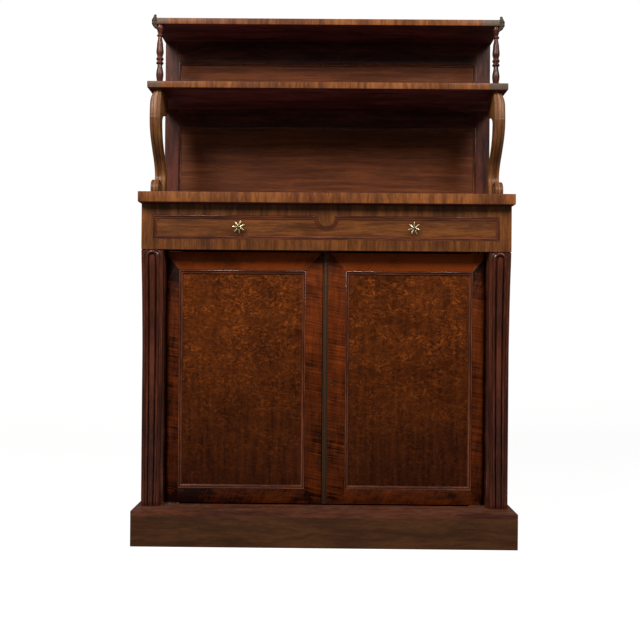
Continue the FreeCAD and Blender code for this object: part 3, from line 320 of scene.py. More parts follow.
def swept_frame(outline, profile, face_y):
    """A moulding round a field: profile points (inset, height) put the outline, taken in by the
    inset, that height ahead of the panel's face."""
    rings = []
    for inset, rise in profile:
        ring = outline(inset)
        rings.append(np.column_stack([ring[:, 0], np.full(len(ring), face_y - rise), ring[:, 1]]))
    return shell(np.array(rings), wrap_rows=True, along="cols")


def rectangle(low_x, high_x, low_z, high_z):
    """The outline of a rectangular field as a function of its inset."""
    def outline(inset):
        return np.array([[low_x + inset, low_z + inset], [high_x - inset, low_z + inset],
                         [high_x - inset, high_z - inset], [low_x + inset, high_z - inset]])
    return outline


def ovolo(width, rise):
    """A panel moulding's section (inset, height): a bead that stands proud, a deep quirk and a lower
    quarter-round that falls to the panel, each an arc of an ellipse."""
    bead = arc((0, 0), 1.0, 180, -30, 9) * (0.18, 0.24) + (0.19, 0.76)
    fall = arc((0, 0), 1.0, 90, 4, 10) * (0.47, 0.52) + (0.50, 0.03)
    section = np.vstack([[(0, 0)], bead, [(0.39, 0.16), (0.45, 0.16)], fall, [(1.0, 0)]])
    return section * (width, rise)


def eased_copy(nodes, width, flush=()):
    """Skins of CAD nodes with their free arrises rounded by width.

    An arris is an edge whose faces meet at more than 30 degrees. One that lies in a flush plane
    (axis, value), where two boards are glued edge to edge, stays sharp.
    """
    skins = []
    for node in nodes:
        work = bmesh.new()
        work.from_mesh(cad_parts[node].data)
        bmesh.ops.remove_doubles(work, verts=work.verts, dist=WELD)
        bmesh.ops.dissolve_limit(work, angle_limit=math.radians(0.5), verts=work.verts,
                                 edges=work.edges)
        arrises = [edge for edge in work.edges if edge.is_manifold
                   and edge.calc_face_angle() > math.radians(30)
                   and not any(all(abs(v.co[axis] - value) < 2e-5 for v in edge.verts)
                               for axis, value in flush)]
        bmesh.ops.bevel(work, geom=arrises, offset=width, segments=2, profile=0.5,
                        affect="EDGES", clamp_overlap=True)
        bmesh.ops.recalc_face_normals(work, faces=work.faces)
        bmesh.ops.triangulate(work, faces=[face for face in work.faces if len(face.verts) > 4])
        copy = bpy.data.meshes.new(node + "_copy")
        work.to_mesh(copy)
        work.free()
        points = np.zeros(len(copy.vertices) * 3)
        loops = np.zeros(len(copy.loops), int)
        starts = np.zeros(len(copy.polygons), int)
        copy.vertices.foreach_get("co", points)
        copy.loops.foreach_get("vertex_index", loops)
        copy.polygons.foreach_get("loop_start", starts)
        bpy.data.meshes.remove(copy)
        points = points.reshape(-1, 3)
        counts = np.diff(np.append(starts, len(loops)))
        skins.append(skin_of(points, loops, counts, points[loops][:, [2, 0]], 0))
    return skins


def finish(key, eased, *nodes):
    """Give CAD nodes a material and, where the width isn't 0, arrises rounded by modifiers, which
    leave their meshes as they are."""
    for node in nodes:
        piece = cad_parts[node]
        if not piece.material_slots:
            piece.data.materials.append(MATERIALS[key])
        for place in piece.material_slots:
            place.material = MATERIALS[key]
        if eased:
            piece.modifiers.new("weld", "WELD").merge_threshold = WELD
            rounding = piece.modifiers.new("arris", "BEVEL")
            rounding.width = eased
            rounding.segments = 2
            rounding.limit_method = "ANGLE"
            rounding.angle_limit = math.radians(35)


# ---------------------------------------------------------------- node graphs
class Graph:
    """Short calls that add nodes to one tree and join them."""

    def __init__(self, tree):
        self.tree = tree

    def add(self, kind, **settings):
        node = self.tree.nodes.new("ShaderNode" + kind)
        for name, value in settings.items():
            setattr(node, name, value)
        return node

    def feed(self, socket, value):
        if isinstance(value, bpy.types.NodeSocket):
            self.tree.links.new(value, socket)
        elif value is not None:
            socket.default_value = value

    def fill(self, node, **values):
        """Feed sockets by their names, with _ for a space, and give the node's outputs."""
        for name, value in values.items():
            self.feed(node.inputs[name.replace("_", " ")], value)
        return node.outputs

    def math(self, operation, a, b=None, c=None, clamp=False):
        node = self.add("Math", operation=operation, use_clamp=clamp)
        for socket, value in zip(node.inputs, (a, b, c)):
            self.feed(socket, value)
        return node.outputs[0]

    def plus(self, a, b, clamp=False):
        return self.math("ADD", a, b, clamp=clamp)

    def minus(self, a, b, clamp=False):
        return self.math("SUBTRACT", a, b, clamp=clamp)

    def times(self, a, b):
        return self.math("MULTIPLY", a, b)

    def times_plus(self, a, b, c, clamp=False):
        return self.math("MULTIPLY_ADD", a, b, c, clamp)

    def clamped(self, value):
        return self.plus(value, 0.0, clamp=True)

    def lean(self, tone, value, weight):
        """The tone moved by weight times what the value has above or below a half."""
        return self.times_plus(self.minus(value, 0.5), weight, tone)

    def noise(self, vector, scale, detail=3.0, roughness=0.55, distortion=0.0, output="Fac"):
        return self.fill(self.add("TexNoise"), Vector=vector, Scale=scale, Detail=detail,
                         Roughness=roughness, Distortion=distortion)[output]

    def remap(self, value, low, high, to_low=0.0, to_high=1.0):
        """to_low below low, to_high above high, and a smooth step between."""
        return self.fill(self.add("MapRange", interpolation_type="SMOOTHSTEP"), Value=value,
                         From_Min=low, From_Max=high, To_Min=to_low, To_Max=to_high)["Result"]

    def mix(self, kind, first, result, factor, a, b):
        node = self.add("Mix", data_type=kind)
        for index, value in ((0, factor), (first, a), (first + 1, b)):
            self.feed(node.inputs[index], value)
        return node.outputs[result]

    def blend(self, factor, a, b):
        return self.mix("RGBA", 6, 2, factor, a, b)

    def choose(self, factor, a, b):
        return self.mix("VECTOR", 4, 1, factor, a, b)

    def split(self, vector):
        return self.fill(self.add("SeparateXYZ"), Vector=vector)

    def join(self, x, y, z):
        return self.fill(self.add("CombineXYZ"), X=x, Y=y, Z=z)["Vector"]

    def vector(self, operation, a, b):
        node = self.add("VectorMath", operation=operation)
        self.feed(node.inputs[0], a)
        self.feed(node.inputs["Scale" if operation == "SCALE" else 1], b)
        return node.outputs[0]

    def place(self):
        """The object's own metres."""
        return self.add("TexCoord").outputs["Object"]

    def use(self, name, **values):
        """The outputs of a shared node group."""
        return self.fill(self.add("Group", node_tree=shared(name)), **values)

    def relief(self, shader, height, strength, distance):
        """Bend the shader's normal by a height."""
        bump = self.fill(self.add("Bump"), Strength=strength, Distance=distance, Height=height)
        self.feed(shader.inputs["Normal"], bump["Normal"])


def new_group(name, inputs, outputs):
    """An empty shader node group, its graph, the sockets it is given and those it gives out. All
    of them are numbers, apart from Vector."""
    tree = bpy.data.node_groups.new(name, "ShaderNodeTree")
    for way, sockets in (("INPUT", inputs), ("OUTPUT", outputs)):
        for socket in sockets:
            kind = "NodeSocketVector" if socket == "Vector" else "NodeSocketFloat"
            tree.interface.new_socket(name=socket, in_out=way, socket_type=kind)
    given, out = (tree.nodes.new("NodeGroup" + way) for way in ("Input", "Output"))
    return tree, Graph(tree), given.outputs, out.inputs


def grain_group():
    """Wood grain. The vector's x runs along the grain.

    Tone mixes wide streaks, fine streaks and clouds; Pores are short dark dashes; Height is for
    a Bump node. The streaks are noise on a vector whose x is divided by Stretch and which is
    shifted by a slow noise times Curl.
    """
    tree, g, given, out = new_group(
        "figured_grain", ("Vector", "Streaks", "Stretch", "Curl", "Clouds", "Cloud Size"),
        ("Tone", "Pores", "Height"))
    drift = g.noise(given["Vector"], 7.0, 2.0, 0.5, output="Color")
    shift = g.vector("SCALE", g.vector("SUBTRACT", drift, (0.5, 0.5, 0.5)), given["Curl"])
    x, y, z = g.split(g.vector("ADD", given["Vector"], shift))
    drawn = g.join(g.math("DIVIDE", x, given["Stretch"]), y, z)
    wide = g.noise(drawn, given["Streaks"], 4.0, 0.6, 0.3)
    fine = g.noise(drawn, g.times(given["Streaks"], 5.5), 3.0, 0.65)
    clouds = g.noise(given["Vector"], given["Cloud Size"], 2.0, 0.5, 0.8)
    tone = g.lean(g.lean(wide, fine, 0.65), clouds, given["Clouds"])
    g.feed(out["Tone"], g.remap(tone, 0.25, 0.78))
    pores = g.remap(g.noise(g.join(g.times(x, 0.055), y, z), 1500.0, 1.0, 0.5), 0.60, 0.72)
    g.feed(out["Pores"], pores)
    g.feed(out["Height"], g.minus(g.times(fine, 0.35), pores))
    return tree


def wear_group():
    """Handling marks: Rub is a broad cloud of polished and dulled places, Scuffs are thin fine
    scratches, and Dust lies where the surface faces up."""
    tree, g, given, out = new_group("handling", ("Vector", "Size"), ("Rub", "Scuffs", "Dust"))
    g.feed(out["Rub"], g.remap(g.noise(given["Vector"], given["Size"], 4.0, 0.6, 0.6), 0.3, 0.7))
    x, y, z = g.split(given["Vector"])
    slanted = g.join(g.times(g.plus(x, z), 0.12), g.minus(z, x), y)
    g.feed(out["Scuffs"], g.remap(g.noise(slanted, 420.0, 1.0, 0.5, 0.4), 0.70, 0.76))
    up = g.split(g.add("NewGeometry").outputs["Normal"])[2]
    mottled = g.noise(given["Vector"], 38.0, 4.0, 0.7)
    g.feed(out["Dust"], g.times(g.remap(up, 0.75, 0.98), g.remap(mottled, 0.35, 0.75)))
    return tree


def blocks_group():
    """Cross-banding laid in short blocks: Tone is a chance value for each block and Joint is 1 on
    the hairline between two. The block's number is floor(Along / Width + a slow noise)."""
    tree, g, given, out = new_group("cross_banding", ("Along", "Width"), ("Tone", "Joint"))
    steps = g.math("DIVIDE", given["Along"], given["Width"])
    place = g.times_plus(g.noise(g.join(steps, 3.7, 0.0), 0.37, 1.0), 2.4, steps)
    chance = g.fill(g.add("TexWhiteNoise", noise_dimensions="1D"), W=g.math("FLOOR", place))
    g.feed(out["Tone"], chance["Value"])
    g.feed(out["Joint"], g.remap(g.math("FRACT", place), 0.0, 0.012, 1.0, 0.0))
    return tree


def tarnish_group():
    """Old metal: Tarnish is a cloud from dull 0 to rubbed 1, Lines are drawn marks along z and
    Specks are small dark spots."""
    tree, g, given, out = new_group("tarnish", ("Vector", "Size"), ("Tarnish", "Lines", "Specks"))
    cloud = g.noise(given["Vector"], given["Size"], 5.0, 0.65, 0.6)
    drawn = g.vector("MULTIPLY", given["Vector"], (1.0, 1.0, 0.03))
    g.feed(out["Tarnish"], g.remap(cloud, 0.30, 0.72))
    g.feed(out["Lines"], g.noise(drawn, 1400.0, 2.0, 0.5))
    g.feed(out["Specks"], g.noise(given["Vector"], 620.0, 2.0, 0.6))
    return tree


GROUPS = {}


def shared(name):
    """The node group of that name, made on its first use."""
    makers = {"grain": grain_group, "wear": wear_group, "blocks": blocks_group,
              "tarnish": tarnish_group}
    if name not in GROUPS:
        GROUPS[name] = makers[name]()
    return GROUPS[name]


# ---------------------------------------------------------------- materials
TURNS = {"x": (0.0, 0.0, 0.0), "y": (0.0, 0.0, -math.pi / 2), "z": (0.0, math.pi / 2, 0.0)}
END_GREY = (0.078, 0.060, 0.040, 1.0)
DUST = (0.42, 0.37, 0.31, 1.0)
PLANK_GAP = (0.01, 0.006, 0.004, 1.0)


def new_material(name):
    """A material with its graph and its Principled BSDF."""
    material = bpy.data.materials.new(name)
    material.use_nodes = True
    return material, Graph(material.node_tree), material.node_tree.nodes["Principled BSDF"]


def grain_vector(g, source):
    """The pattern's vector: the object's own metres turned so that x runs along the grain, or
    the piece's own map."""
    if source == "map":
        return g.add("UVMap", uv_map="grain").outputs["UV"]
    return g.fill(g.add("Mapping"), Vector=g.place(), Rotation=TURNS[source])["Vector"]


def rgba(value, share=1.0):
    """A colour property, times a share, as four numbers."""
    return (*(part * share for part in value), 1.0)


def ramp(g, tone, dark, light, lift=0.42):
    """Dark, middle and light along the tone, the middle a mix of both ends."""
    node = g.add("ValToRGB")
    stops = node.color_ramp.elements
    stops[0].color = rgba(dark)
    stops[1].color = rgba(light)
    stops.new(0.5).color = rgba([d + (l - d) * lift for d, l in zip(dark, light)])
    return g.fill(node, Fac=tone)["Color"]


def pored(g, grain, pores, base, dark):
    """The colour with the grain's pores darkened."""
    return g.blend(g.times(grain["Pores"], pores), base, rgba(dark, 0.3))


def polish(g, shader, base, height, rough, coat, coat_rough=0.14, specular=0.12, marks=8.0):
    """Join a polished wood's colour, roughness, coat and relief to its shader, with the marks of
    handling at a size."""
    wear = g.use("wear", Vector=g.place(), Size=marks)
    marked = g.times_plus(wear["Scuffs"], 0.16, g.times_plus(wear["Rub"], 0.16, rough))
    g.fill(shader, Base_Color=g.blend(g.times(wear["Dust"], 0.06), base, DUST),
           Roughness=g.times_plus(wear["Dust"], 0.12, marked),
           Coat_Weight=g.times_plus(wear["Rub"], -0.5 * coat, coat), Coat_Roughness=coat_rough,
           Coat_IOR=1.5, Specular_IOR_Level=specular)
    g.relief(shader, height, 0.5, 0.0001)


def wood(name, dark, light, along="x", streaks=34.0, stretch=9.0, curl=0.03, clouds=0.35,
         rough=0.36, coat=0.22, coat_rough=0.16, pores=0.45, banded=0.0):
    """A figured, polished wood whose grain runs along x, y, z or the piece's map.

    With banded above 0 it is cross-banding: blocks that wide, along x, with the grain upright,
    faded to grey-green at the two ends of the shelves, more at the right.
    """
    material, g, shader = new_material(name)
    grain = g.use("grain", Vector=grain_vector(g, along), Streaks=streaks, Stretch=stretch,
                  Curl=curl, Clouds=clouds, Cloud_Size=5.0)
    tone, height = grain["Tone"], grain["Height"]
    if banded:
        x, y, z = g.split(g.place())
        banding = g.use("blocks", Along=g.plus(x, y), Width=banded)
        tone = g.clamped(g.lean(tone, banding["Tone"], 0.36))
        height = g.minus(height, banding["Joint"])
    base = ramp(g, tone, dark, light)
    if banded:
        ends = g.plus(g.remap(x, 0.428, 0.442, 0.0, 0.85), g.remap(x, -0.452, -0.440, 0.60, 0.0))
        upper = g.times(ends, g.math("GREATER_THAN", z, 1.1))
        base = g.blend(g.times(upper, g.remap(tone, 0.0, 0.5, 0.7, 1.0)), base, END_GREY)
    polish(g, shader, pored(g, grain, pores, base, dark), height, rough, coat, coat_rough, marks=9.0)
    return material


def door_frame_veneer(dark, light):
    """Rippled veneer on the doors' frames, mitred at the corners of their fields.

    A point belongs to a stile where it lies farther past the field in |x| than in z, as shares of
    the frame's width. Stiles have fine level ripples, rails have slanting streaks, and both have
    soft dark clouds about the mitres. Painted shade darkens the stiles at the upper outer corners,
    under the pilasters' heads, and the frames towards the foot and at the left; painted light
    lightens them at the right and on the top rails, where the drawer front's shadow falls.
    """
    material, g, shader = new_material("door_frame_veneer")
    low_x, high_x, low_z, high_z = door_field("right")
    place = g.place()
    x, y, z = g.split(place)
    away = g.math("ABSOLUTE", x)
    past_x, past_z = (g.minus(g.math("ABSOLUTE", g.minus(value, (low + high) / 2)), (high - low) / 2)
                      for value, low, high in ((away, low_x, high_x), (z, low_z, high_z)))
    lead = g.minus(g.math("DIVIDE", past_x, 0.040), g.math("DIVIDE", past_z, 0.046))
    off_mitre = g.math("ABSOLUTE", lead)
    on_stile = g.math("GREATER_THAN", lead, 0.0)
    on_rail = g.minus(1.0, on_stile)
    corner = g.math("GREATER_THAN", g.math("MINIMUM", past_x, past_z), 0.0)
    mitre = g.times(g.remap(off_mitre, 0.0, 0.02, 1.0, 0.0), corner)
    near = g.times(g.remap(off_mitre, 0.0, 0.8, 1.0, 0.0), corner)

    ripple_at = g.join(g.times(x, 9.0), y, g.times_plus(x, 55.0, g.times(z, 300.0)))
    ripple = g.noise(ripple_at, 1.0, 2.0, 0.5, 0.7)
    strength = g.times(g.remap(g.noise(place, 14.0, 2.0), 0.35, 0.60, 0.5, 1.5), on_stile)
    along = g.times_plus(x, 0.45, g.times(z, 0.90))
    over = g.times_plus(z, -0.45, g.times(x, 0.90))
    feather = g.noise(g.join(g.times(along, 18.0), g.times(over, 130.0), 0.0), 1.0, 3.0, 0.6, 0.8)
    grain = g.use("grain", Vector=g.choose(on_stile, g.join(x, z, y), g.join(z, x, y)),
                  Streaks=42.0, Stretch=8.0, Curl=0.04, Clouds=0.3, Cloud_Size=9.0)
    clouds = g.noise(place, 10.5, 2.0, 0.5, 1.0)
    tone = g.plus(g.times(g.minus(ripple, 0.5), strength), g.remap(away, 0.03, 0.40, 0.45, 0.38))
    # Painted light: the frames are made darker at the left and lighter at the right, evening out the
    # stronger left lamp.
    tone = g.plus(tone, g.remap(x, -0.44, 0.44, -0.08, 0.08))
    tone = g.times_plus(g.times(g.minus(feather, 0.5), 0.55), on_rail, tone)
    tone = g.lean(g.lean(tone, grain["Tone"], 0.30), clouds, 0.75)
    # Painted shade: darker towards the foot, as the light falls off downwards.
    tone = g.plus(tone, g.remap(z, 0.10, 0.70, -0.20, 0.04))
    # Painted light: the top rails are made lighter where the drawer front's shadow falls.
    tone = g.plus(tone, g.times(on_rail, g.remap(z, high_z - 0.01, high_z, 0.0, 0.46)))
    dim = g.times(near, g.remap(g.noise(place, 26.0, 2.0), 0.35, 0.6, 0.0, 0.20))
    # Painted shade: the stiles are darkened at the upper outer corners, under the pilasters' heads.
    outer = g.times(g.remap(away, 0.36, 0.40), g.remap(z, high_z - 0.09, high_z + 0.01))
    shade = g.times(g.times(outer, on_stile), g.remap(feather, 0.3, 0.6, 0.15, 0.75))
    base = ramp(g, g.minus(tone, g.plus(dim, shade), clamp=True), dark, light)
    base = g.blend(g.times(mitre, 0.6), pored(g, grain, 0.4, base, dark), rgba(dark, 0.3))
    height = g.minus(g.times(ripple, 0.4), g.times(mitre, 1.2))
    polish(g, shader, base, height, 0.36, 0.10, 0.12, 0.05)
    return material


def panel_veneer(dark, light):
    """Plum-pudding veneer of the doors: clusters of bright crinkled flecks on a mottled ground,
    with painted light: it is made lighter towards the top and darker towards the foot."""
    material, g, shader = new_material("panel_veneer")
    _, _, low_z, high_z = door_field("right")
    place = g.place()
    flat = g.vector("MULTIPLY", place, (0.8, 0.1, 1.15))
    flecks = g.noise(flat, 68.0, 3.0, 0.62, 2.3)
    crinkle = g.noise(flat, 34.0, 4.0, 0.66, 2.8)
    clouds = g.noise(flat, 6.5, 3.0, 0.5, 0.8)
    upright = g.noise(g.vector("MULTIPLY", place, (1.0, 1.0, 0.10)), 95.0, 3.0, 0.6)
    clusters = g.remap(g.noise(flat, 15.0, 2.0, 0.5, 1.2), 0.36, 0.60, 0.15, 1.0)
    bright = g.times(g.remap(flecks, 0.46, 0.66), clusters)
    tone = g.times_plus(g.remap(crinkle, 0.40, 0.66), 0.26, g.times_plus(bright, 0.52, 0.16))
    # Painted light: the ground is darker towards the foot and lighter towards the top, as the light falls
    # off downwards.
    painted_falloff = g.remap(g.split(place)[2], low_z - 0.12, high_z, 0.10, 1.15)
    tone = g.clamped(g.lean(g.times(g.lean(tone, clouds, 0.40), painted_falloff), upright, 0.42))
    polish(g, shader, ramp(g, tone, dark, light), g.times(crinkle, 0.3), 0.36, 0.10, 0.12, 0.05, 7.0)
    return material


def drawer_front_veneer(dark, light):
    """Level grain in the sunk field, and upright cross-banding on the border and the half-round
    tongue."""
    material, g, shader = new_material("drawer_front_veneer")
    side, low_z, high_z, arch_z, arch = drawer_field()
    x, y, z = g.split(g.place())
    level = g.times(g.math("GREATER_THAN", z, low_z), g.math("LESS_THAN", z, high_z))
    inside = g.times(g.math("LESS_THAN", g.math("ABSOLUTE", x), side), level)
    squares = g.plus(g.math("POWER", x, 2.0), g.math("POWER", g.minus(z, arch_z), 2.0))
    inside = g.times(inside, g.math("GREATER_THAN", g.math("SQRT", squares), arch))
    grain = g.use("grain", Vector=g.choose(inside, g.join(z, x, y), g.join(x, z, y)),
                  Streaks=64.0, Stretch=10.0, Curl=0.012, Clouds=0.35, Cloud_Size=8.0)
    banding = g.use("blocks", Along=x, Width=0.085)
    chance = g.times(g.minus(banding["Tone"], 0.5), g.minus(1.0, inside))
    base = ramp(g, g.times_plus(chance, 0.30, grain["Tone"], clamp=True), dark, light)
    polish(g, shader, pored(g, grain, 0.4, base, dark), grain["Height"], 0.36, 0.22)
    return material


def plank_pine(dark, light, width):
    """Unpolished upright planks, with a dark gap between two."""
    material, g, shader = new_material("back_planks")
    grain = g.use("grain", Vector=grain_vector(g, "z"), Streaks=30.0, Stretch=12.0, Curl=0.02,
                  Clouds=0.3, Cloud_Size=3.0)
    place = g.place()
    planks = g.use("blocks", Along=g.split(place)[0], Width=width)
    tone = g.clamped(g.lean(grain["Tone"], planks["Tone"], 0.4))
    base = g.blend(planks["Joint"], ramp(g, tone, dark, light), PLANK_GAP)
    rub = g.use("wear", Vector=place, Size=6.0)["Rub"]
    g.fill(shader, Base_Color=g.blend(g.times(rub, 0.35), base, rgba(dark, 0.45)),
           Roughness=g.times_plus(rub, 0.12, 0.66))
    g.relief(shader, g.minus(grain["Height"], planks["Joint"]), 0.6, 0.0004)
    return material


def metal(name, dull, bright, rubbed, rough, drawn=0.2):
    """Old metal, from dull to bright by its tarnish, with drawn lines and dark specks."""
    material, g, shader = new_material(name)
    old = g.use("tarnish", Vector=g.place(), Size=130.0)
    tone = g.clamped(g.lean(g.plus(old["Tarnish"], rubbed - 0.5), old["Lines"], drawn))
    specks = g.remap(old["Specks"], 0.66, 0.74, 0.0, 0.6)
    g.fill(shader, Base_Color=g.blend(specks, ramp(g, tone, dull, bright, 0.5), rgba(dull, 0.25)),
           Metallic=g.remap(tone, 0.0, 0.5, 0.72, 1.0),
           Roughness=g.times_plus(g.minus(1.0, tone), 0.28, rough))
    g.relief(shader, g.plus(old["Lines"], old["Specks"]), 0.35, 0.00008)
    return material


MATERIALS = {}
LINING = dict(streaks=60.0, rough=0.45, coat=0.1, coat_rough=0.25, pores=0.8)
PINE = dict(streaks=22.0, stretch=14.0, rough=0.62, coat=0.0, pores=0.2)
WOODS = {  # name, tones, way of the grain, and where it differs from the plain wood
    "case_x": ("case_x", "case", "x", dict(streaks=30.0)),
    "lining_x": ("lining_x", "lining", "x", LINING),
    "lining_y": ("lining_y", "lining", "y", LINING),
    "case_z": ("case_z", "case", "z", dict(streaks=30.0)),
    "board": ("board_faces", "case", "x", dict(streaks=22.0, stretch=12.0)),
    # Painted light: the undersides' wood is made lighter than the case, standing in for bounced light.
    "shade": ("board_undersides", "shade", "x", dict(streaks=26.0, rough=0.66, coat=0.0)),
    "edge": ("cross_banded_edges", "edge", "z", dict(streaks=52.0, stretch=7.0, curl=0.012,
                                                     banded=0.062, rough=0.42, coat=0.08)),
    "lid_x": ("plinth_lid", "lid", "x", dict(streaks=40.0)),
    "plinth_x": ("plinth_face", "plinth", "x", dict(streaks=36.0)),
    "plinth_y": ("plinth_ends", "plinth", "y", dict(streaks=36.0)),
    "carved": ("carved_pilasters", "carved", "map", dict(streaks=58.0, stretch=14.0, curl=0.010,
                                                         rough=0.30, coat=0.5, coat_rough=0.10)),
    "console": ("carved_consoles", "console", "map", dict(streaks=70.0, stretch=14.0, curl=0.010,
                                                          rough=0.38, coat=0.35, coat_rough=0.30)),
    "turned": ("turned_columns", "case", "z", dict(streaks=60.0, stretch=10.0, rough=0.34,
                                                   coat=0.3, coat_rough=0.14)),
    "leaf": ("carved_leaves", "leaf", "z", dict(streaks=90.0, stretch=5.0, rough=0.40, coat=0.2)),
    "back_x": ("back_panels", "back", "x", dict(streaks=75.0, stretch=20.0, curl=0.008,
                                                clouds=0.30, rough=0.42, coat=0.06)),
    "moulding": ("mouldings", "moulding", "map", dict(streaks=60.0, stretch=14.0, rough=0.24,
                                                      coat=0.6, coat_rough=0.10)),
    "pine_x": ("pine_x", "pine", "x", PINE),
    "pine_y": ("pine_y", "pine", "y", PINE),
}
PLANK_WIDTH = 0.155


def make_materials(paint):
    """Every finish of the chiffonier, from the colours that the user set."""
    def tones(name):
        return getattr(paint, name + "_dark"), getattr(paint, name + "_light")

    brass = (paint.brass_dull, paint.brass_bright)
    made = MATERIALS
    for key, (name, tone, along, settings) in WOODS.items():
        made[key] = wood(name, *tones(tone), along=along, **settings)
    made["planks"] = plank_pine(*tones("pine"), PLANK_WIDTH)
    made["door_frame"] = door_frame_veneer(*tones("door"))
    made["panel"] = panel_veneer(*tones("panel"))
    made["front"] = drawer_front_veneer(*tones("front"))
    made["brass"] = metal("aged_brass", *brass, 0.40, 0.26)
    made["star"] = metal("rubbed_brass", *brass, 0.80, 0.22)
    made["boss"] = metal("star_boss", paint.strip_dull, paint.brass_dull, 0.75, 0.28)
    made["strip"] = metal("dull_brass", paint.strip_dull, paint.strip_bright, 0.45, 0.36, 0.25)
    made["iron"] = metal("lock_iron", paint.iron_dull, paint.iron_bright, 0.35, 0.38)


# ---------------------------------------------------------------- carcase and boards
def dress_boards(sizes):
    """The main top, the two shelves, the carcase and the plinth."""
    plan = {
        "case_z": ("carcase_side_left", "carcase_side_right"),
        "case_x": ("catch_block",),
        "lid_x": ("plinth_top",),
        "plinth_x": ("plinth_front",),
        "plinth_y": ("plinth_sides",),
        "planks": ("carcase_back",),
        "pine_x": ("plinth_back", "dust_board"),
        "pine_y": ("drawer_runners", "shelf_bearers"),
        "lining_x": ("cupboard_floor", "cupboard_shelf", "drawer_rail"),
    }
    for key, nodes in plan.items():
        finish(key, sizes.arris, *nodes)
    for node in ("main_top", "middle_shelf", "top_board"):
        low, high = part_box(node)
        board = eased_block(low, high, 1.7 * sizes.arris, along="x", turns=5)
        build(node + "_board", [painted_edges(board)],
              [MATERIALS["board"], MATERIALS["edge"], MATERIALS["shade"]], "carcase", [node])


def painted_edges(skin):
    """The skin with paint 0 where it looks up, 1 on its edges and 2 where it looks down, by the
    z share of each face's normal (b - a) x (c - a)."""
    points, loops, counts, uv, _ = skin
    start = np.cumsum(counts) - counts
    a, b, c = (points[loops[start + i]] for i in range(3))
    normal = np.cross(b - a, c - a)
    share = normal[:, 2] / np.maximum(np.linalg.norm(normal, axis=1), 1e-12)
    return points, loops, counts, uv, np.where(share > 0.7, 0, np.where(share < -0.7, 2, 1))


# ---------------------------------------------------------------- pilasters
PILASTER_REACH = (  # share of the height, reach ahead of the frieze plane, drop below that share
    (0.000, 11.2, 0), (0.0, 14.0, 10), (0.12, 10.5, 0), (0.42, 9.0, 0), (0.66, 11.5, 0),
    (0.84, 17.5, 0), (1.0, 26.0, -20), (1.0, 22.6, -7), (1.0, 3.4, -0.4))
PILASTER_HALF = (22.0 * MM, 28.5 * MM)  # half the carving's width at the foot and at the top
PILASTER_MIDDLE = (454.0 * MM, 451.5 * MM)  # x of its middle at the foot and at the top
ARCH_DROP = 18.0 * MM  # top of the deep groove's arch below the pilaster's
GROOVE_AT = 9.0  # the deep groove from the middle, in mm
SIDE_REEDS = ((14.6, 4.4), (22.2, 3.2))  # each flanking reed from the middle, and its half width
BORDER_AT = 25.5  # the flat border beside the reeds
EDGE_AT, EDGE_WIDE, EDGE_DEEP = 26.6, 1.9, 1.6  # the rounding of the outer edges


def pilaster_depth(across, below, tall_share, sizes):
    """How deep the carving lies, in metres, at a place across the pilaster's width and a distance
    below the centre of the arch that closes its middle reed.

    With s across and t below, both in mm, d is |s| below the arch's centre and sqrt(s^2 + t^2)
    above it, so every reed runs round the arch. The deep groove is a round-bottomed notch about
    d = 9, narrower towards the foot, and each flanking reed is a parabola about its middle.
    """
    s = np.abs(across) / MM
    t = below / MM
    d = np.where(t > 0, s, np.hypot(s, t))
    half = 1.7 + tall_share
    notch = np.sqrt(np.clip(1 - ((d - GROOVE_AT) / half) ** 2, 0, 1)) * sizes.deep_groove / MM
    crown = np.where(d < GROOVE_AT, 1.3 * (d / GROOVE_AT) ** 2.4, 0.0)
    rise = sizes.reed_rise / MM
    reeds = np.where(d > BORDER_AT, rise * 0.6, 0.0)
    for middle, reach in SIDE_REEDS:
        reeds = np.where(np.abs(d - middle) <= reach, rise * ((d - middle) / reach) ** 2, reeds)
    edge = EDGE_DEEP * np.clip((s - EDGE_AT) / EDGE_WIDE, 0, 1) ** 2
    return (np.maximum(notch, crown) + reeds * (d > GROOVE_AT + half * 0.6) + edge) * MM


def pilaster_skins(sizes):
    """The right pilaster's carved front and the corner post behind it.

    The front follows a flowing curve of reach over height, and the carving lies along the curve's
    normal by pilaster_depth."""
    low, high = (np.array(v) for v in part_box("pilaster_right"))
    tall = high[2] - low[2]
    knots = [(reach * MM, low[2] + share * tall + drop * MM) for share, reach, drop in PILASTER_REACH]
    path = np.vstack([[knots[0]], flowing(knots[1:], 26)])
    normal = normals_of(path)
    along = running(path)
    front_z = path[:, 1]
    share = np.linspace(-1, 1, 121)
    shape = (len(path), len(share))
    centre = np.interp(high[2] - ARCH_DROP, front_z, along) - GROOVE_AT * MM
    below = np.broadcast_to((centre - along)[:, None], shape)
    across = np.broadcast_to(share * PILASTER_HALF[1], shape)
    upward = np.broadcast_to(((front_z - low[2]) / tall)[:, None], shape)
    depth = np.minimum(pilaster_depth(across, below, upward, sizes),
                       np.maximum(path[:, :1] - 0.2 * MM, 0))
    half, middle = (np.interp(front_z, (low[2], high[2]), ends)
                    for ends in (PILASTER_HALF, PILASTER_MIDDLE))
    x = middle[:, None] + share * half[:, None]
    y = FRIEZE_Y - (path[:, :1] + normal[:, :1] * depth)
    z = np.clip(path[:, 1:] + normal[:, 1:] * depth, low[2], high[2])
    front = np.stack([x, y, z], -1)
    back = np.stack([x[:, [-1, 0]], np.full((len(path), 2), FRIEZE_Y),
                     np.repeat(front_z[:, None], 2, 1)], -1)
    grid = np.concatenate([front, back], axis=1)
    lines = np.concatenate([np.where(below > 0, np.abs(across), np.hypot(across, below)),
                            np.full((len(path), 2), 0.05)], 1)
    carving = shell(grid, uv=(np.broadcast_to(along[:, None], lines.shape), lines))
    post_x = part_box("carcase_side_right")[0][0]
    post = eased_block((low[0], FRIEZE_Y, low[2]),
                       (post_x, high[1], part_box("drawer_rail")[0][2]), 0.4 * MM)
    return [carving, post]


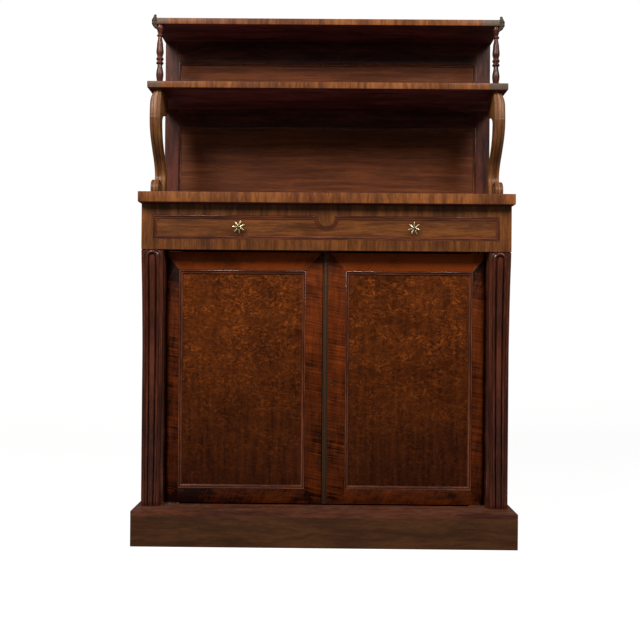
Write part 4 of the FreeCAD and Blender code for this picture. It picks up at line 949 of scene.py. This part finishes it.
# ---------------------------------------------------------------- consoles
CONSOLE_ROWS = (  # front and rear of the console, each mm behind the frieze plane and above the top
    (64.0, 293.4, 159.0, 293.4), (61.0, 281.0, 159.0, 280.0), (57.2, 262.4, 159.0, 264.3),
    (55.2, 251.0, 150.4, 245.0), (53.5, 239.5, 130.4, 234.5), (52.1, 227.0, 108.2, 231.4),
    (51.45, 219.0, 89.9, 222.1), (51.1, 211.2, 80.9, 211.2), (54.6, 189.0, 82.1, 189.0),
    (64.8, 166.1, 88.8, 166.1), (81.0, 144.1, 101.9, 144.1), (98.8, 124.1, 118.8, 124.1),
    (117.0, 104.2, 135.9, 104.2), (129.0, 83.9, 147.9, 83.9), (132.0, 69.0, 152.9, 69.0),
    (128.0, 56.0, 156.0, 55.0), (121.4, 45.9, 158.4, 38.3), (117.0, 34.0, 158.0, 20.0),
    (117.0, 14.0, 157.0, 8.0), (117.0, 0.0, 156.2, 0.0))
REEDS = (-0.17, 0.17)  # places of the grooves, as shares of the width
REED_HALF = 0.035  # half a groove's width, as a share too
CONSOLE_CROWN = 2.4 * MM  # how far the band's sides lie behind its middle
CONSOLE_EDGE = 3.4 * MM  # rounding of its outer tenths
HEAD_START, HEAD_TALL, HEAD_WIDE = 38.0 * MM, 38.5 * MM, 20.0 * MM  # the head's rounded corner
SCROLL_RADIUS = 26.9 * MM
SCROLL_SHARE = 0.68  # the scroll's width as a share of the console's
SCROLL_BACK, SCROLL_RISE = 102.5 * MM, 27.0 * MM  # its middle from the frieze plane and the top


def reeded(across, rise):
    """The depth of two grooves across a band: rise (1 - u^2) about each, u from -1 to 1."""
    return sum(rise * np.clip(1 - ((across - place) / REED_HALF) ** 2, 0, 1) for place in REEDS)


def console_skins(sizes):
    """The right console: an S-shaped band, rounded and reeded across its front, with its head
    under the shelf and its heel on the top, and the scroll foot.

    Each row of the band runs from its front point to its rear point, and the front is taken in
    along its path's normal by the rounding and the grooves. Near the shelf the outer side turns
    in by a quarter of an ellipse, 1 - sqrt(1 - u^2)."""
    low, high = (np.array(v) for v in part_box("console_right"))
    wide = high[0] - low[0]
    centre_x = (low[0] + high[0]) / 2
    rows = np.array(CONSOLE_ROWS) * MM + (FRIEZE_Y, low[2], FRIEZE_Y, low[2])
    front, rear = flowing(rows[:, :2], 16), flowing(rows[:, 2:], 16)
    across = np.linspace(-0.5, 0.5, 61)
    rounded = CONSOLE_EDGE * np.clip((np.abs(across) - 0.41) / 0.09, 0, 1) ** 2
    crown = CONSOLE_CROWN * (2 * np.abs(across)) ** 2.6
    depth = crown + rounded + reeded(across, sizes.band_groove)
    face = front[:, None, :] + normals_of(front)[:, None, :] * depth[None, :, None]
    hind = np.linspace(0.48, -0.48, 9)
    wall = np.repeat(rear[:, None, :], len(hind), axis=1)
    place = np.concatenate([across, hind])
    up = np.clip((front[:, 1] - high[2] + HEAD_START) / HEAD_TALL, 0, 1)
    turn_in = 1 - np.sqrt(1 - up ** 2)
    x = centre_x + place * wide - (place + 0.5) * turn_in[:, None] * HEAD_WIDE
    flat = np.concatenate([face, wall], axis=1)
    grid = np.stack([x, flat[..., 0], np.clip(flat[..., 1], low[2], high[2])], -1)
    scroll = moved(scroll_foot(SCROLL_RADIUS, SCROLL_SHARE * wide, sizes.band_groove),
                   (high[0] - SCROLL_SHARE / 2 * wide, FRIEZE_Y + SCROLL_BACK, low[2] + SCROLL_RISE))
    return [shell(grid), scroll]


def scroll_foot(radius, wide, reed):
    """A scroll about the x axis: reeded round its rim, with a spiral on each side.

    On a side the relief is 1 - cos(2 pi (r / pitch - a / 2 pi)), a ridge that winds in by one
    pitch a turn, and the eye is a small dome.
    """
    turn = np.linspace(0, 2 * math.pi, 90, endpoint=False)
    side_r = np.linspace(0.04, 0.93, 30) * radius
    share = side_r / radius
    soft = 0.07 * radius
    phase = side_r[:, None] / (0.30 * radius) - turn / (2 * math.pi)
    fade = smooth(0.16, 0.30, share) * (1 - smooth(0.84, 0.93, share))
    relief = 0.9 * MM * (1 - np.cos(2 * math.pi * phase)) * fade[:, None]
    eye = 1.4 * MM * (1 - smooth(0.0, 0.22, share))[:, None]
    across = np.linspace(0.40, -0.40, 41)
    swell = np.radians(np.linspace(0, 78, 5))

    def rows(values):
        return np.broadcast_to(values[:, None], (len(values), len(turn)))

    side = (rows(side_r), np.minimum(wide / 2 - 1.4 * MM - relief + eye, wide / 2))
    lip = (rows(radius - soft + soft * np.sin(swell)), rows(wide / 2 - soft + soft * np.cos(swell)))
    rim = (rows(radius - reeded(across, reed)), rows(across * wide))
    r = np.vstack([side[0], lip[0], rim[0], lip[0][::-1], side[0][::-1]])
    x = np.vstack([side[1], lip[1], rim[1], -lip[1][::-1], -side[1][::-1]])
    return shell(np.stack([x, r * np.cos(turn), r * np.sin(turn)], -1), along="cols")


# ---------------------------------------------------------------- turned columns and corner leaves
COLUMN_TURNING = (  # share of the height, share of the largest radius, and the form up to it
    (0.000, 1.00, "line"), (0.048, 1.00, "line"), (0.056, 0.86, "line"), (0.072, 0.86, "line"),
    (0.098, 0.86, "bead"), (0.104, 0.74, "line"), (0.250, 1.00, "vase"), (0.400, 0.64, "vase"),
    (0.408, 0.84, "line"), (0.440, 0.84, "bead"), (0.448, 0.74, "line"), (0.468, 0.74, "line"),
    (0.506, 0.84, "bead"), (0.516, 0.74, "line"), (0.590, 1.00, "vase"), (0.700, 0.84, "vase"),
    (0.822, 0.54, "vase"), (0.828, 0.70, "line"), (0.856, 0.70, "bead"), (0.862, 0.56, "line"),
    (0.925, 0.80, "vase"), (0.935, 0.94, "line"), (1.000, 0.94, "bead"),
)


COLUMN_RADIUS = 10.2 * MM
COLUMN_STEPS = {"line": 1, "bead": 9, "vase": 14}
BEAD_SWELL = 0.16
LEAF_SPINE = (  # x, and z above the top board's underside, in mm
    (475.5, -15.0), (480.5, -9.0), (483.5, -2.0), (484.0, 7.0), (483.4, 14.0), (482.2, 19.0))
LEAF_TIP_X, LEAF_BACK, LEAF_LIMIT_X = 481.6, 2.2, 491.0
LEAF_OUTLINE = (  # share of the spine, half width in x and in y
    (0, 2.4, 2.8), (0.15, 5.0, 5.6), (0.40, 6.8, 7.6), (0.62, 6.8, 7.6), (0.80, 5.0, 5.2),
    (0.88, 3.2, 3.2), (0.95, 3.9, 3.9), (1.0, 0.6, 0.6))


def turned_profile(height, radius):
    """(radius, height) along a column. A bead bulges by sqrt(1 - (2u - 1)^2) and a vase follows
    3u^2 - 2u^3 between its ends."""
    points = [(COLUMN_TURNING[0][1], COLUMN_TURNING[0][0])]
    for (low, start, _), (high, end, form) in zip(COLUMN_TURNING, COLUMN_TURNING[1:]):
        u = np.linspace(0, 1, COLUMN_STEPS[form] + 1)[1:]
        swell = start + (end - start) * (u * u * (3 - 2 * u) if form == "vase" else u)
        if form == "bead":
            swell = max(start, end) + BEAD_SWELL * np.sqrt(np.clip(1 - (2 * u - 1) ** 2, 0, 1))
            swell[-1] = end
        points += list(zip(swell, low + (high - low) * u))
    return [(min(share, 1.0) * radius, level * height) for share, level in points]


def make_columns(sizes):
    """Two turned columns between the middle shelf and the top board."""
    low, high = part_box("turned_columns")
    right = lathe(turned_profile(high[2] - low[2], COLUMN_RADIUS), sizes.turning_steps,
                  (high[0] - COLUMN_RADIUS, (low[1] + high[1]) / 2, low[2]))
    build("turned_columns_fine", [right, mirrored(right)], [MATERIALS["turned"]], "carcase",
          ["turned_columns"])


def leaf_skin():
    """A carved leaf that wraps a front corner of the top board and ends in a small knob.

    A spine in x and z carries rings whose half widths in x and y follow a leaf's outline, scalloped
    by 1 + 0.13 |sin 4 pi u| along the spine; each ring is fluted by 1 - 0.14 cos^2(4a)."""
    low, high = (np.array(v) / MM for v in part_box("corner_tips"))
    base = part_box("top_board")[0][2] / MM
    knots = [(x, base + up) for x, up in LEAF_SPINE] + [(LEAF_TIP_X, high[2] - 0.1)]
    spine = evenly(flowing(knots, 8), 57)
    u = np.linspace(0, 1, len(spine))
    lobes = 1 + 0.13 * np.abs(np.sin(4 * math.pi * u))
    shares, *halves = np.array(LEAF_OUTLINE).T
    reach, deep = ((np.interp(u, shares, half) * lobes)[:, None] for half in halves)
    turn = np.linspace(0, 2 * math.pi, 48, endpoint=False)
    flute = 1 - 0.14 * np.cos(4 * turn) ** 2
    x = np.minimum(spine[:, :1] + reach * np.cos(turn) * flute, LEAF_LIMIT_X)
    y = low[1] + LEAF_BACK + deep * np.sin(turn) * flute
    return shell(np.stack([x, y, np.broadcast_to(spine[:, 1:], x.shape)], -1) * MM)


# ---------------------------------------------------------------- doors
def door_field(word):
    """The field of one door, inside its frame: low x, high x, low z, high z."""
    rail_low, rail_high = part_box(f"{word}_door_bottom_rail")
    return rail_low[0], rail_high[0], rail_high[2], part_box(f"{word}_door_top_rail")[0][2]


DOOR_FRAME = ("hinge_stile", "meeting_stile", "top_rail", "bottom_rail")


def make_doors(sizes):
    """The veneered frames, panels and mouldings of both doors."""
    for word in ("left", "right"):
        low_x, high_x, low_z, high_z = door_field(word)
        body = word + "_door"
        nodes = [f"{word}_door_{part}" for part in DOOR_FRAME]
        build(word + "_door_frame", eased_copy(nodes, sizes.arris, ((0, low_x), (0, high_x))),
              [MATERIALS["door_frame"]], body, nodes)
        finish("panel", 0, f"{word}_door_panel")
        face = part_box(f"{word}_door_panel")[0][1]
        section = ovolo(sizes.door_moulding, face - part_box(f"{word}_door_moulding")[0][1])
        ring = swept_frame(rectangle(low_x, high_x, low_z, high_z), section, face)
        build(word + "_door_ovolo", [ring], [MATERIALS["moulding"]], body,
              [f"{word}_door_moulding"])
        finish("brass", 0, f"{word}_door_pivots")


# ---------------------------------------------------------------- brass
STAR_RAYS = 7
STAR_RAY = (  # radius and distance from the middle, in mm
    (1.8, 1.0), (1.95, 5.0), (1.9, 9.0), (1.75, 12.6), (1.5, 15.0), (1.05, 16.5), (0.5, 17.2),
    (0.08, 17.4))
STAR_DOME = (  # radius and height ahead of the rays, in mm
    (5.0, -1.2), (5.1, 1.4), (4.7, 3.2), (3.7, 4.5), (2.4, 5.1), (1.4, 5.2), (0.9, 4.8), (0.15, 4.6))
STAR_STEM = ((4.4, -13.7), (4.4, -12.2), (3.2, -11.2), (2.8, -5.0), (4.4, -1.0))
STAR_INSET = (17.06 * MM, 5.2 * MM, 17.5 * MM)  # its middle inside the CAD knob's box
STAR_TURNS = (90, 74)  # degrees of the first ray, on the right and on the left
STRIP_SECTION = (0.24, 0.30, 0.62)  # heights of the fillets' edge and foot, half the bead's width
KEYHOLE_EYE, KEYHOLE_SLOT, KEYHOLE_DROP = 2.9 * MM, 1.7 * MM, 6.2 * MM
KEYHOLE_RISE = 27.0 * MM  # the keyhole's eye above the lock's foot
SCREW_DOME = ((1.0, 0.0), (0.98, 0.10), (0.85, 0.16), (0.6, 0.20), (0.35, 0.22), (0.12, 0.23))
PLATE_SCREWS = (5.0 * MM, 62.0 * MM)  # from each end of the door bolts' plates
LOCK_SCREWS = (19.5 * MM, 4.0 * MM, 5.0 * MM)  # from the lock's left, its right, its top and foot


def spun(skin, angle):
    """The skin turned about the y axis: x cos a - z sin a and x sin a + z cos a."""
    c, s = math.cos(angle), math.sin(angle)
    return (skin[0] @ np.array([[c, 0, s], [0, 1, 0], [-s, 0, c]]),) + skin[1:]


def star_skins(centre, first):
    """A star knob: seven tapered rays with round ends, a dimpled boss and a stem behind.

    The rays are turned rods that lie at first + 360 k / 7 degrees."""
    rod, dome, stem = (np.array(part) * MM for part in (STAR_RAY, STAR_DOME, STAR_STEM))
    ray = lathe(rod, 16, (0, 0, 0), "x")
    rays = [moved(spun(ray, math.radians(first + 360 * k / STAR_RAYS)), centre)
            for k in range(STAR_RAYS)]
    return rays + [lathe(dome, 32, centre, "y", 1), lathe(stem, 28, centre, "y", 1)]


def make_knobs():
    """Two star knobs on the drawer, not turned alike."""
    low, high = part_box("star_knobs")
    across = high[0] - STAR_INSET[0]
    plane = low[1] + STAR_INSET[1]
    middle_z = high[2] - STAR_INSET[2]
    stars = [skin for x, first in zip((across, -across), STAR_TURNS)
             for skin in star_skins((x, plane, middle_z), first)]
    build("star_knobs_fine", stars, [MATERIALS["star"], MATERIALS["boss"]], "drawer",
          ["star_knobs"])


def make_strip():
    """The meeting strip: an astragal between two thin fillets, upright on the right door."""
    low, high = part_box("meeting_strip")
    half = (high[0] - low[0]) / 2
    deep = high[1] - low[1]
    edge, foot, wide = STRIP_SECTION
    bead = arc((0, 0), 1.0, 180, 0, 19) * (wide, 1 - foot) + (0, foot)
    section = np.vstack([[(-1, 0), (-1, edge), (-0.94, foot)], bead,
                         [(0.94, foot), (1, edge), (1, 0)]]) * (half, deep)
    ring = np.column_stack([(low[0] + high[0]) / 2 + section[:, 0], high[1] - section[:, 1]])
    middle = ring.mean(0)
    levels = np.array([low[2], low[2] + 0.6 * MM, high[2] - 0.6 * MM, high[2]])
    rings = middle + (ring - middle) * np.array([0.97, 1.0, 1.0, 0.97])[:, None, None]
    rise = np.broadcast_to(levels[:, None, None], rings.shape[:2] + (1,))
    build("meeting_strip_bead", [shell(np.concatenate([rings, rise], -1))], [MATERIALS["strip"]],
          "right_door", ["meeting_strip"])


def make_escutcheon(sizes):
    """A thread escutcheon: a half-round bead that follows the keyhole, a circle over a slot."""
    low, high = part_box("escutcheon")
    centre_x = (low[0] + high[0]) / 2
    eye_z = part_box("lock_case")[0][2] + KEYHOLE_RISE
    start = math.degrees(math.asin(KEYHOLE_SLOT / KEYHOLE_EYE))
    ring = np.vstack([arc((0, 0), KEYHOLE_EYE, -90 + start, 270 - start, 30),
                      arc((0, -KEYHOLE_DROP), KEYHOLE_SLOT, 180, 360, 9)])
    closed = np.vstack([ring[-1:], ring, ring[:1]])
    tangent = closed[2:] - closed[:-2]
    tangent /= np.linalg.norm(tangent, axis=1)[:, None]
    outward = np.stack([tangent[:, 1], -tangent[:, 0]], -1)
    turn = np.radians(np.linspace(0, 180, 9))[:, None]
    x = centre_x + ring[:, 0] + outward[:, 0] * sizes.bead * np.cos(turn)
    z = eye_z + ring[:, 1] + outward[:, 1] * sizes.bead * np.cos(turn)
    y = np.broadcast_to(high[1] - 0.8 * MM * np.sin(turn), x.shape)
    build("thread_escutcheon", [shell(np.stack([x, y, z], -1), wrap_rows=True, along="cols")],
          [MATERIALS["boss"]], "right_door", ["escutcheon"])


def screw(centre, radius):
    """A countersunk screw's head behind a plate, domed by 0.23 of its radius, with a slot 0.2 of
    it deep across x = z."""
    turn = np.linspace(0, 2 * math.pi, 32, endpoint=False)
    shares, rises = np.array(SCREW_DOME).T[..., None] * radius
    x, z = shares * np.cos(turn), shares * np.sin(turn)
    rise = rises * np.ones_like(x)
    rise[1:] -= (0.20 * radius * (np.abs(x - z) < 0.22 * radius))[1:]
    return shell(np.stack([x, rise, z], -1) + np.asarray(centre))


def make_fittings():
    """The lock, the door bolts and their plates with screws, and the pivots' plates."""
    finish("brass", 0.35 * MM, "lock_bolt", "door_bolt_top", "door_bolt_bottom", "pivot_sockets",
           "door_bolt_plates")
    finish("iron", 0.4 * MM, "lock_case")
    low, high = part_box("door_bolt_plates")
    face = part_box("left_door_meeting_stile")[1][1] + 2.0 * MM
    near, far = PLATE_SCREWS
    levels = (low[2] + near, low[2] + far, high[2] - far, high[2] - near)
    build("bolt_plate_screws", [screw(((low[0] + high[0]) / 2, face, z), 2.4 * MM) for z in levels],
          [MATERIALS["iron"]], "left_door")
    low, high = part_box("lock_case")
    left, right, end = LOCK_SCREWS
    build("lock_screws", [screw((x, high[1], z), 2.2 * MM) for x in (low[0] + left, high[0] - right)
                          for z in (low[2] + end, high[2] - end)],
          [MATERIALS["brass"]], "right_door")


# ---------------------------------------------------------------- drawer and superstructure
DRAWER_BORDER = {"side": 30.0 * MM, "foot": 27.0 * MM, "top": 29.0 * MM}
TONGUE_DROP, TONGUE_RADIUS = 5.0 * MM, 22.0 * MM
DRAWER_MOULDING = (10.0 * MM, 4.6 * MM)  # width and rise


def drawer_field():
    """The drawer front's sunk field: half width, low z, high z, and its arch's centre z and radius."""
    low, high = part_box("drawer_front")
    top = high[2] - DRAWER_BORDER["top"]
    return (high[0] - DRAWER_BORDER["side"], low[2] + DRAWER_BORDER["foot"], top, top - TONGUE_DROP,
            TONGUE_RADIUS)


def make_drawer(sizes):
    """The drawer's front, its moulding and its box."""
    side, low_z, high_z, arch_z, arch = drawer_field()
    finish("front", 1.4 * sizes.arris, "drawer_front")

    def outline(inset):
        """The field taken in by an inset; its arch keeps its centre and grows by the inset."""
        radius = arch + inset
        top = high_z - inset
        start = math.degrees(math.asin(max(-1.0, min(1.0, (top - arch_z) / radius))))
        dip = arc((0, arch_z), radius, -180 - start, start, 41)
        return np.vstack([[-side + inset, top], [-side + inset, low_z + inset],
                          [side - inset, low_z + inset], [side - inset, top], dip[::-1]])

    ring = swept_frame(outline, ovolo(*DRAWER_MOULDING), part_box("drawer_moulding")[1][1])
    build("drawer_ovolo", [ring], [MATERIALS["moulding"]], "drawer",
          ["drawer_moulding"])
    finish("lining_y", sizes.arris, "drawer_side_left", "drawer_side_right")
    finish("lining_x", 0.5 * sizes.arris, "drawer_bottom", "drawer_back")


def make_back(sizes):
    """The framed back of the superstructure."""
    rails = ["back_rail_bottom", "back_rail_middle", "back_rail_top"]
    finish("case_z", 0.3 * sizes.arris, "back_stile_left", "back_stile_right")
    finish("case_x", 0.3 * sizes.arris, *rails)
    finish("back_x", 0, "back_panel_lower", "back_panel_upper")
    inner_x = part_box("back_stile_right")[0][0]
    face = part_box("back_panel_lower")[0][1]
    section = ovolo(sizes.back_moulding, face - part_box("back_mouldings")[0][1])
    rings = [swept_frame(rectangle(-inner_x, inner_x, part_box(under)[1][2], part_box(over)[0][2]),
                         section, face) for under, over in zip(rails, rails[1:])]
    build("back_ovolo", rings, [MATERIALS["moulding"]], "carcase",
          ["back_mouldings"])


# ---------------------------------------------------------------- stage
SWEEP_RADIUS, STAGE_HALF, STAGE_HIGH = 1.6, 7.0, 6.0
LIGHT_AIM = (0.0, 0.0, 0.75)
LIGHT_SIZE = (0.8, 1.3)
LIGHTS = (  # name, place, its setting and its tint
    ("key_left", (-1.5, -2.4, 2.85), "key_power", (1.0, 0.975, 0.94)),
    ("key_right", (1.5, -2.4, 2.85), "fill_power", (1.0, 0.98, 0.96)))
CAMERA_PLACE = (-0.0005, -2.4166, 0.5729)
CAMERA_TURN = (-0.0061, -0.0027, 0.0086)  # yaw, pitch and roll, in radians
WHITE = (1.0, 1.0, 1.0, 1.0)


def area_light(name, place, power, tint):
    """A soft oblong light at a place, turned towards the middle of the chiffonier."""
    light = bpy.data.lights.new(name, "AREA")
    light.shape = "RECTANGLE"
    light.size, light.size_y = LIGHT_SIZE
    light.energy = power
    light.color = tint
    lamp = bpy.data.objects.new(name, light)
    lamp.location = place
    lamp.rotation_euler = (Vector(LIGHT_AIM) - Vector(place)).to_track_quat("-Z", "Y").to_euler()
    bpy.context.scene.collection.objects.link(lamp)


def make_stage(studio):
    """A pale floor that sweeps up behind, soft lights and the camera."""
    bend = SWEEP_RADIUS
    sweep = np.vstack([[(-STAGE_HALF, 0.0), (bend, 0.0)], arc((bend, bend), bend, -88, 0, 24),
                       [(2 * bend, STAGE_HIGH)]])
    verts = [(side * STAGE_HALF, y, z) for y, z in sweep for side in (-1, 1)]
    faces = [(2 * i, 2 * i + 1, 2 * i + 3, 2 * i + 2) for i in range(len(sweep) - 1)]
    mesh = bpy.data.meshes.new("studio_sweep")
    mesh.from_pydata(verts, [], faces)
    mesh.polygons.foreach_set("use_smooth", [True] * len(faces))
    material, g, shader = new_material("studio_paper")
    paper = g.noise(g.place(), 14.0, 4.0)
    seen = g.add("LightPath").outputs["Is Camera Ray"]
    g.fill(shader, Base_Color=g.blend(paper, (0.22, 0.22, 0.22, 1), (0.24, 0.24, 0.24, 1)),
           Roughness=0.9, Specular_IOR_Level=0.1, Emission_Color=WHITE,
           Emission_Strength=g.times(seen, studio.paper_glow))
    mesh.materials.append(material)
    sweep_object = bpy.data.objects.new("studio_sweep", mesh)
    bpy.context.scene.collection.objects.link(sweep_object)

    world = bpy.data.worlds.new("studio_air")
    world.use_nodes = True
    g = Graph(world.node_tree)
    air = world.node_tree.nodes["Background"]
    seen = g.add("LightPath").outputs["Is Camera Ray"]
    g.fill(air, Color=WHITE, Strength=g.times_plus(seen, 1.0 - studio.sky, studio.sky))
    bpy.context.scene.world = world
    bpy.context.scene.view_settings.view_transform = "Standard"
    for name, place, setting, tint in LIGHTS:
        area_light(name, place, getattr(studio, setting), tint)

    yaw, pitch, roll = CAMERA_TURN
    ahead = Vector((math.sin(yaw) * math.cos(pitch), math.cos(yaw) * math.cos(pitch), -math.sin(pitch)))
    right = Vector((math.cos(yaw), -math.sin(yaw), 0.0))
    down = ahead.cross(right)
    image_right = math.cos(roll) * right - math.sin(roll) * down
    image_down = math.sin(roll) * right + math.cos(roll) * down
    camera = bpy.data.objects.new("camera", bpy.data.cameras.new("camera"))
    camera.data.lens = studio.lens
    camera.data.sensor_width = 36.0
    camera.matrix_world = (Matrix.Translation(CAMERA_PLACE)
                           @ Matrix((image_right, -image_down, -ahead)).transposed().to_4x4())
    bpy.context.scene.collection.objects.link(camera)
    bpy.context.scene.camera = camera


# ---------------------------------------------------------------- the add-on
def carve_pair(name, skins, material):
    """A right piece and its mirror image on the left, for the CAD nodes of that name."""
    for word, side in (("right", skins), ("left", [mirrored(skin) for skin in skins])):
        build(f"{name}_{word}_carving", side, [MATERIALS[material]], "carcase",
              [f"{name}_{word}"], sharp=50)


class CHIFFONIER_OT_materials(bpy.types.Operator):
    """Make the woods and metals"""
    bl_idname = "chiffonier.materials"
    bl_label = "Woods and Metals"

    def execute(self, context):
        make_materials(context.scene.chiffonier_finish)
        return {"FINISHED"}


class CHIFFONIER_OT_boards(bpy.types.Operator):
    """Dress the carcase, the plinth, the main top and the shelves"""
    bl_idname = "chiffonier.boards"
    bl_label = "Carcase and Boards"

    def execute(self, context):
        dress_boards(context.scene.chiffonier_sizes)
        return {"FINISHED"}


class CHIFFONIER_OT_pilasters(bpy.types.Operator):
    """Carve the two reeded pilasters"""
    bl_idname = "chiffonier.pilasters"
    bl_label = "Pilasters"

    def execute(self, context):
        carve_pair("pilaster", pilaster_skins(context.scene.chiffonier_sizes), "carved")
        return {"FINISHED"}


class CHIFFONIER_OT_consoles(bpy.types.Operator):
    """Carve the two scroll consoles"""
    bl_idname = "chiffonier.consoles"
    bl_label = "Consoles"

    def execute(self, context):
        carve_pair("console", console_skins(context.scene.chiffonier_sizes), "console")
        return {"FINISHED"}


class CHIFFONIER_OT_turnings(bpy.types.Operator):
    """Turn the columns and carve the corner leaves"""
    bl_idname = "chiffonier.turnings"
    bl_label = "Columns and Corner Leaves"

    def execute(self, context):
        make_columns(context.scene.chiffonier_sizes)
        leaf = leaf_skin()
        build("corner_leaves", [leaf, mirrored(leaf)], [MATERIALS["leaf"]], "carcase",
              ["corner_tips"], sharp=50)
        return {"FINISHED"}


class CHIFFONIER_OT_doors(bpy.types.Operator):
    """Veneer the doors and lay their mouldings"""
    bl_idname = "chiffonier.doors"
    bl_label = "Doors"

    def execute(self, context):
        make_doors(context.scene.chiffonier_sizes)
        return {"FINISHED"}


class CHIFFONIER_OT_drawer(bpy.types.Operator):
    """Veneer the drawer's front and line its box"""
    bl_idname = "chiffonier.drawer"
    bl_label = "Drawer"

    def execute(self, context):
        make_drawer(context.scene.chiffonier_sizes)
        return {"FINISHED"}


class CHIFFONIER_OT_back(bpy.types.Operator):
    """Finish the framed back of the shelves"""
    bl_idname = "chiffonier.back"
    bl_label = "Framed Back"

    def execute(self, context):
        make_back(context.scene.chiffonier_sizes)
        return {"FINISHED"}


class CHIFFONIER_OT_brass(bpy.types.Operator):
    """Make the star knobs, the meeting strip, the escutcheon and the fittings"""
    bl_idname = "chiffonier.brass"
    bl_label = "Brass and Iron"

    def execute(self, context):
        make_knobs()
        make_strip()
        make_escutcheon(context.scene.chiffonier_sizes)
        make_fittings()
        return {"FINISHED"}


class CHIFFONIER_OT_stage(bpy.types.Operator):
    """Set the floor, the lights and the camera"""
    bl_idname = "chiffonier.stage"
    bl_label = "Studio"

    def execute(self, context):
        make_stage(context.scene.chiffonier_studio)
        return {"FINISHED"}


OPERATORS = (CHIFFONIER_OT_materials, CHIFFONIER_OT_boards, CHIFFONIER_OT_pilasters,
             CHIFFONIER_OT_consoles, CHIFFONIER_OT_turnings, CHIFFONIER_OT_doors,
             CHIFFONIER_OT_drawer, CHIFFONIER_OT_back, CHIFFONIER_OT_brass, CHIFFONIER_OT_stage)
SETTINGS = {"chiffonier_finish": ChiffonierFinish, "chiffonier_sizes": ChiffonierSizes,
            "chiffonier_studio": ChiffonierStudio}


class CHIFFONIER_PT_panel(bpy.types.Panel):
    """The chiffonier's pieces and settings"""
    bl_label = "Chiffonier"
    bl_idname = "CHIFFONIER_PT_panel"
    bl_space_type = "VIEW_3D"
    bl_region_type = "UI"
    bl_category = "Chiffonier"

    def draw(self, context):
        for operator in OPERATORS:
            self.layout.operator(operator.bl_idname)
        for name, group in SETTINGS.items():
            box = self.layout.box()
            for prop in group.__annotations__:
                box.prop(getattr(context.scene, name), prop)


def register():
    for cls in (*SETTINGS.values(), *OPERATORS, CHIFFONIER_PT_panel):
        bpy.utils.register_class(cls)
    for name, group in SETTINGS.items():
        setattr(bpy.types.Scene, name, PointerProperty(type=group))


def unregister():
    for name in SETTINGS:
        delattr(bpy.types.Scene, name)
    for cls in reversed((*SETTINGS.values(), *OPERATORS, CHIFFONIER_PT_panel)):
        bpy.utils.unregister_class(cls)


def main():
    register()
    for operator in OPERATORS:
        group, name = operator.bl_idname.split(".")
        getattr(getattr(bpy.ops, group), name)()


if __name__ == "__main__":
    main()
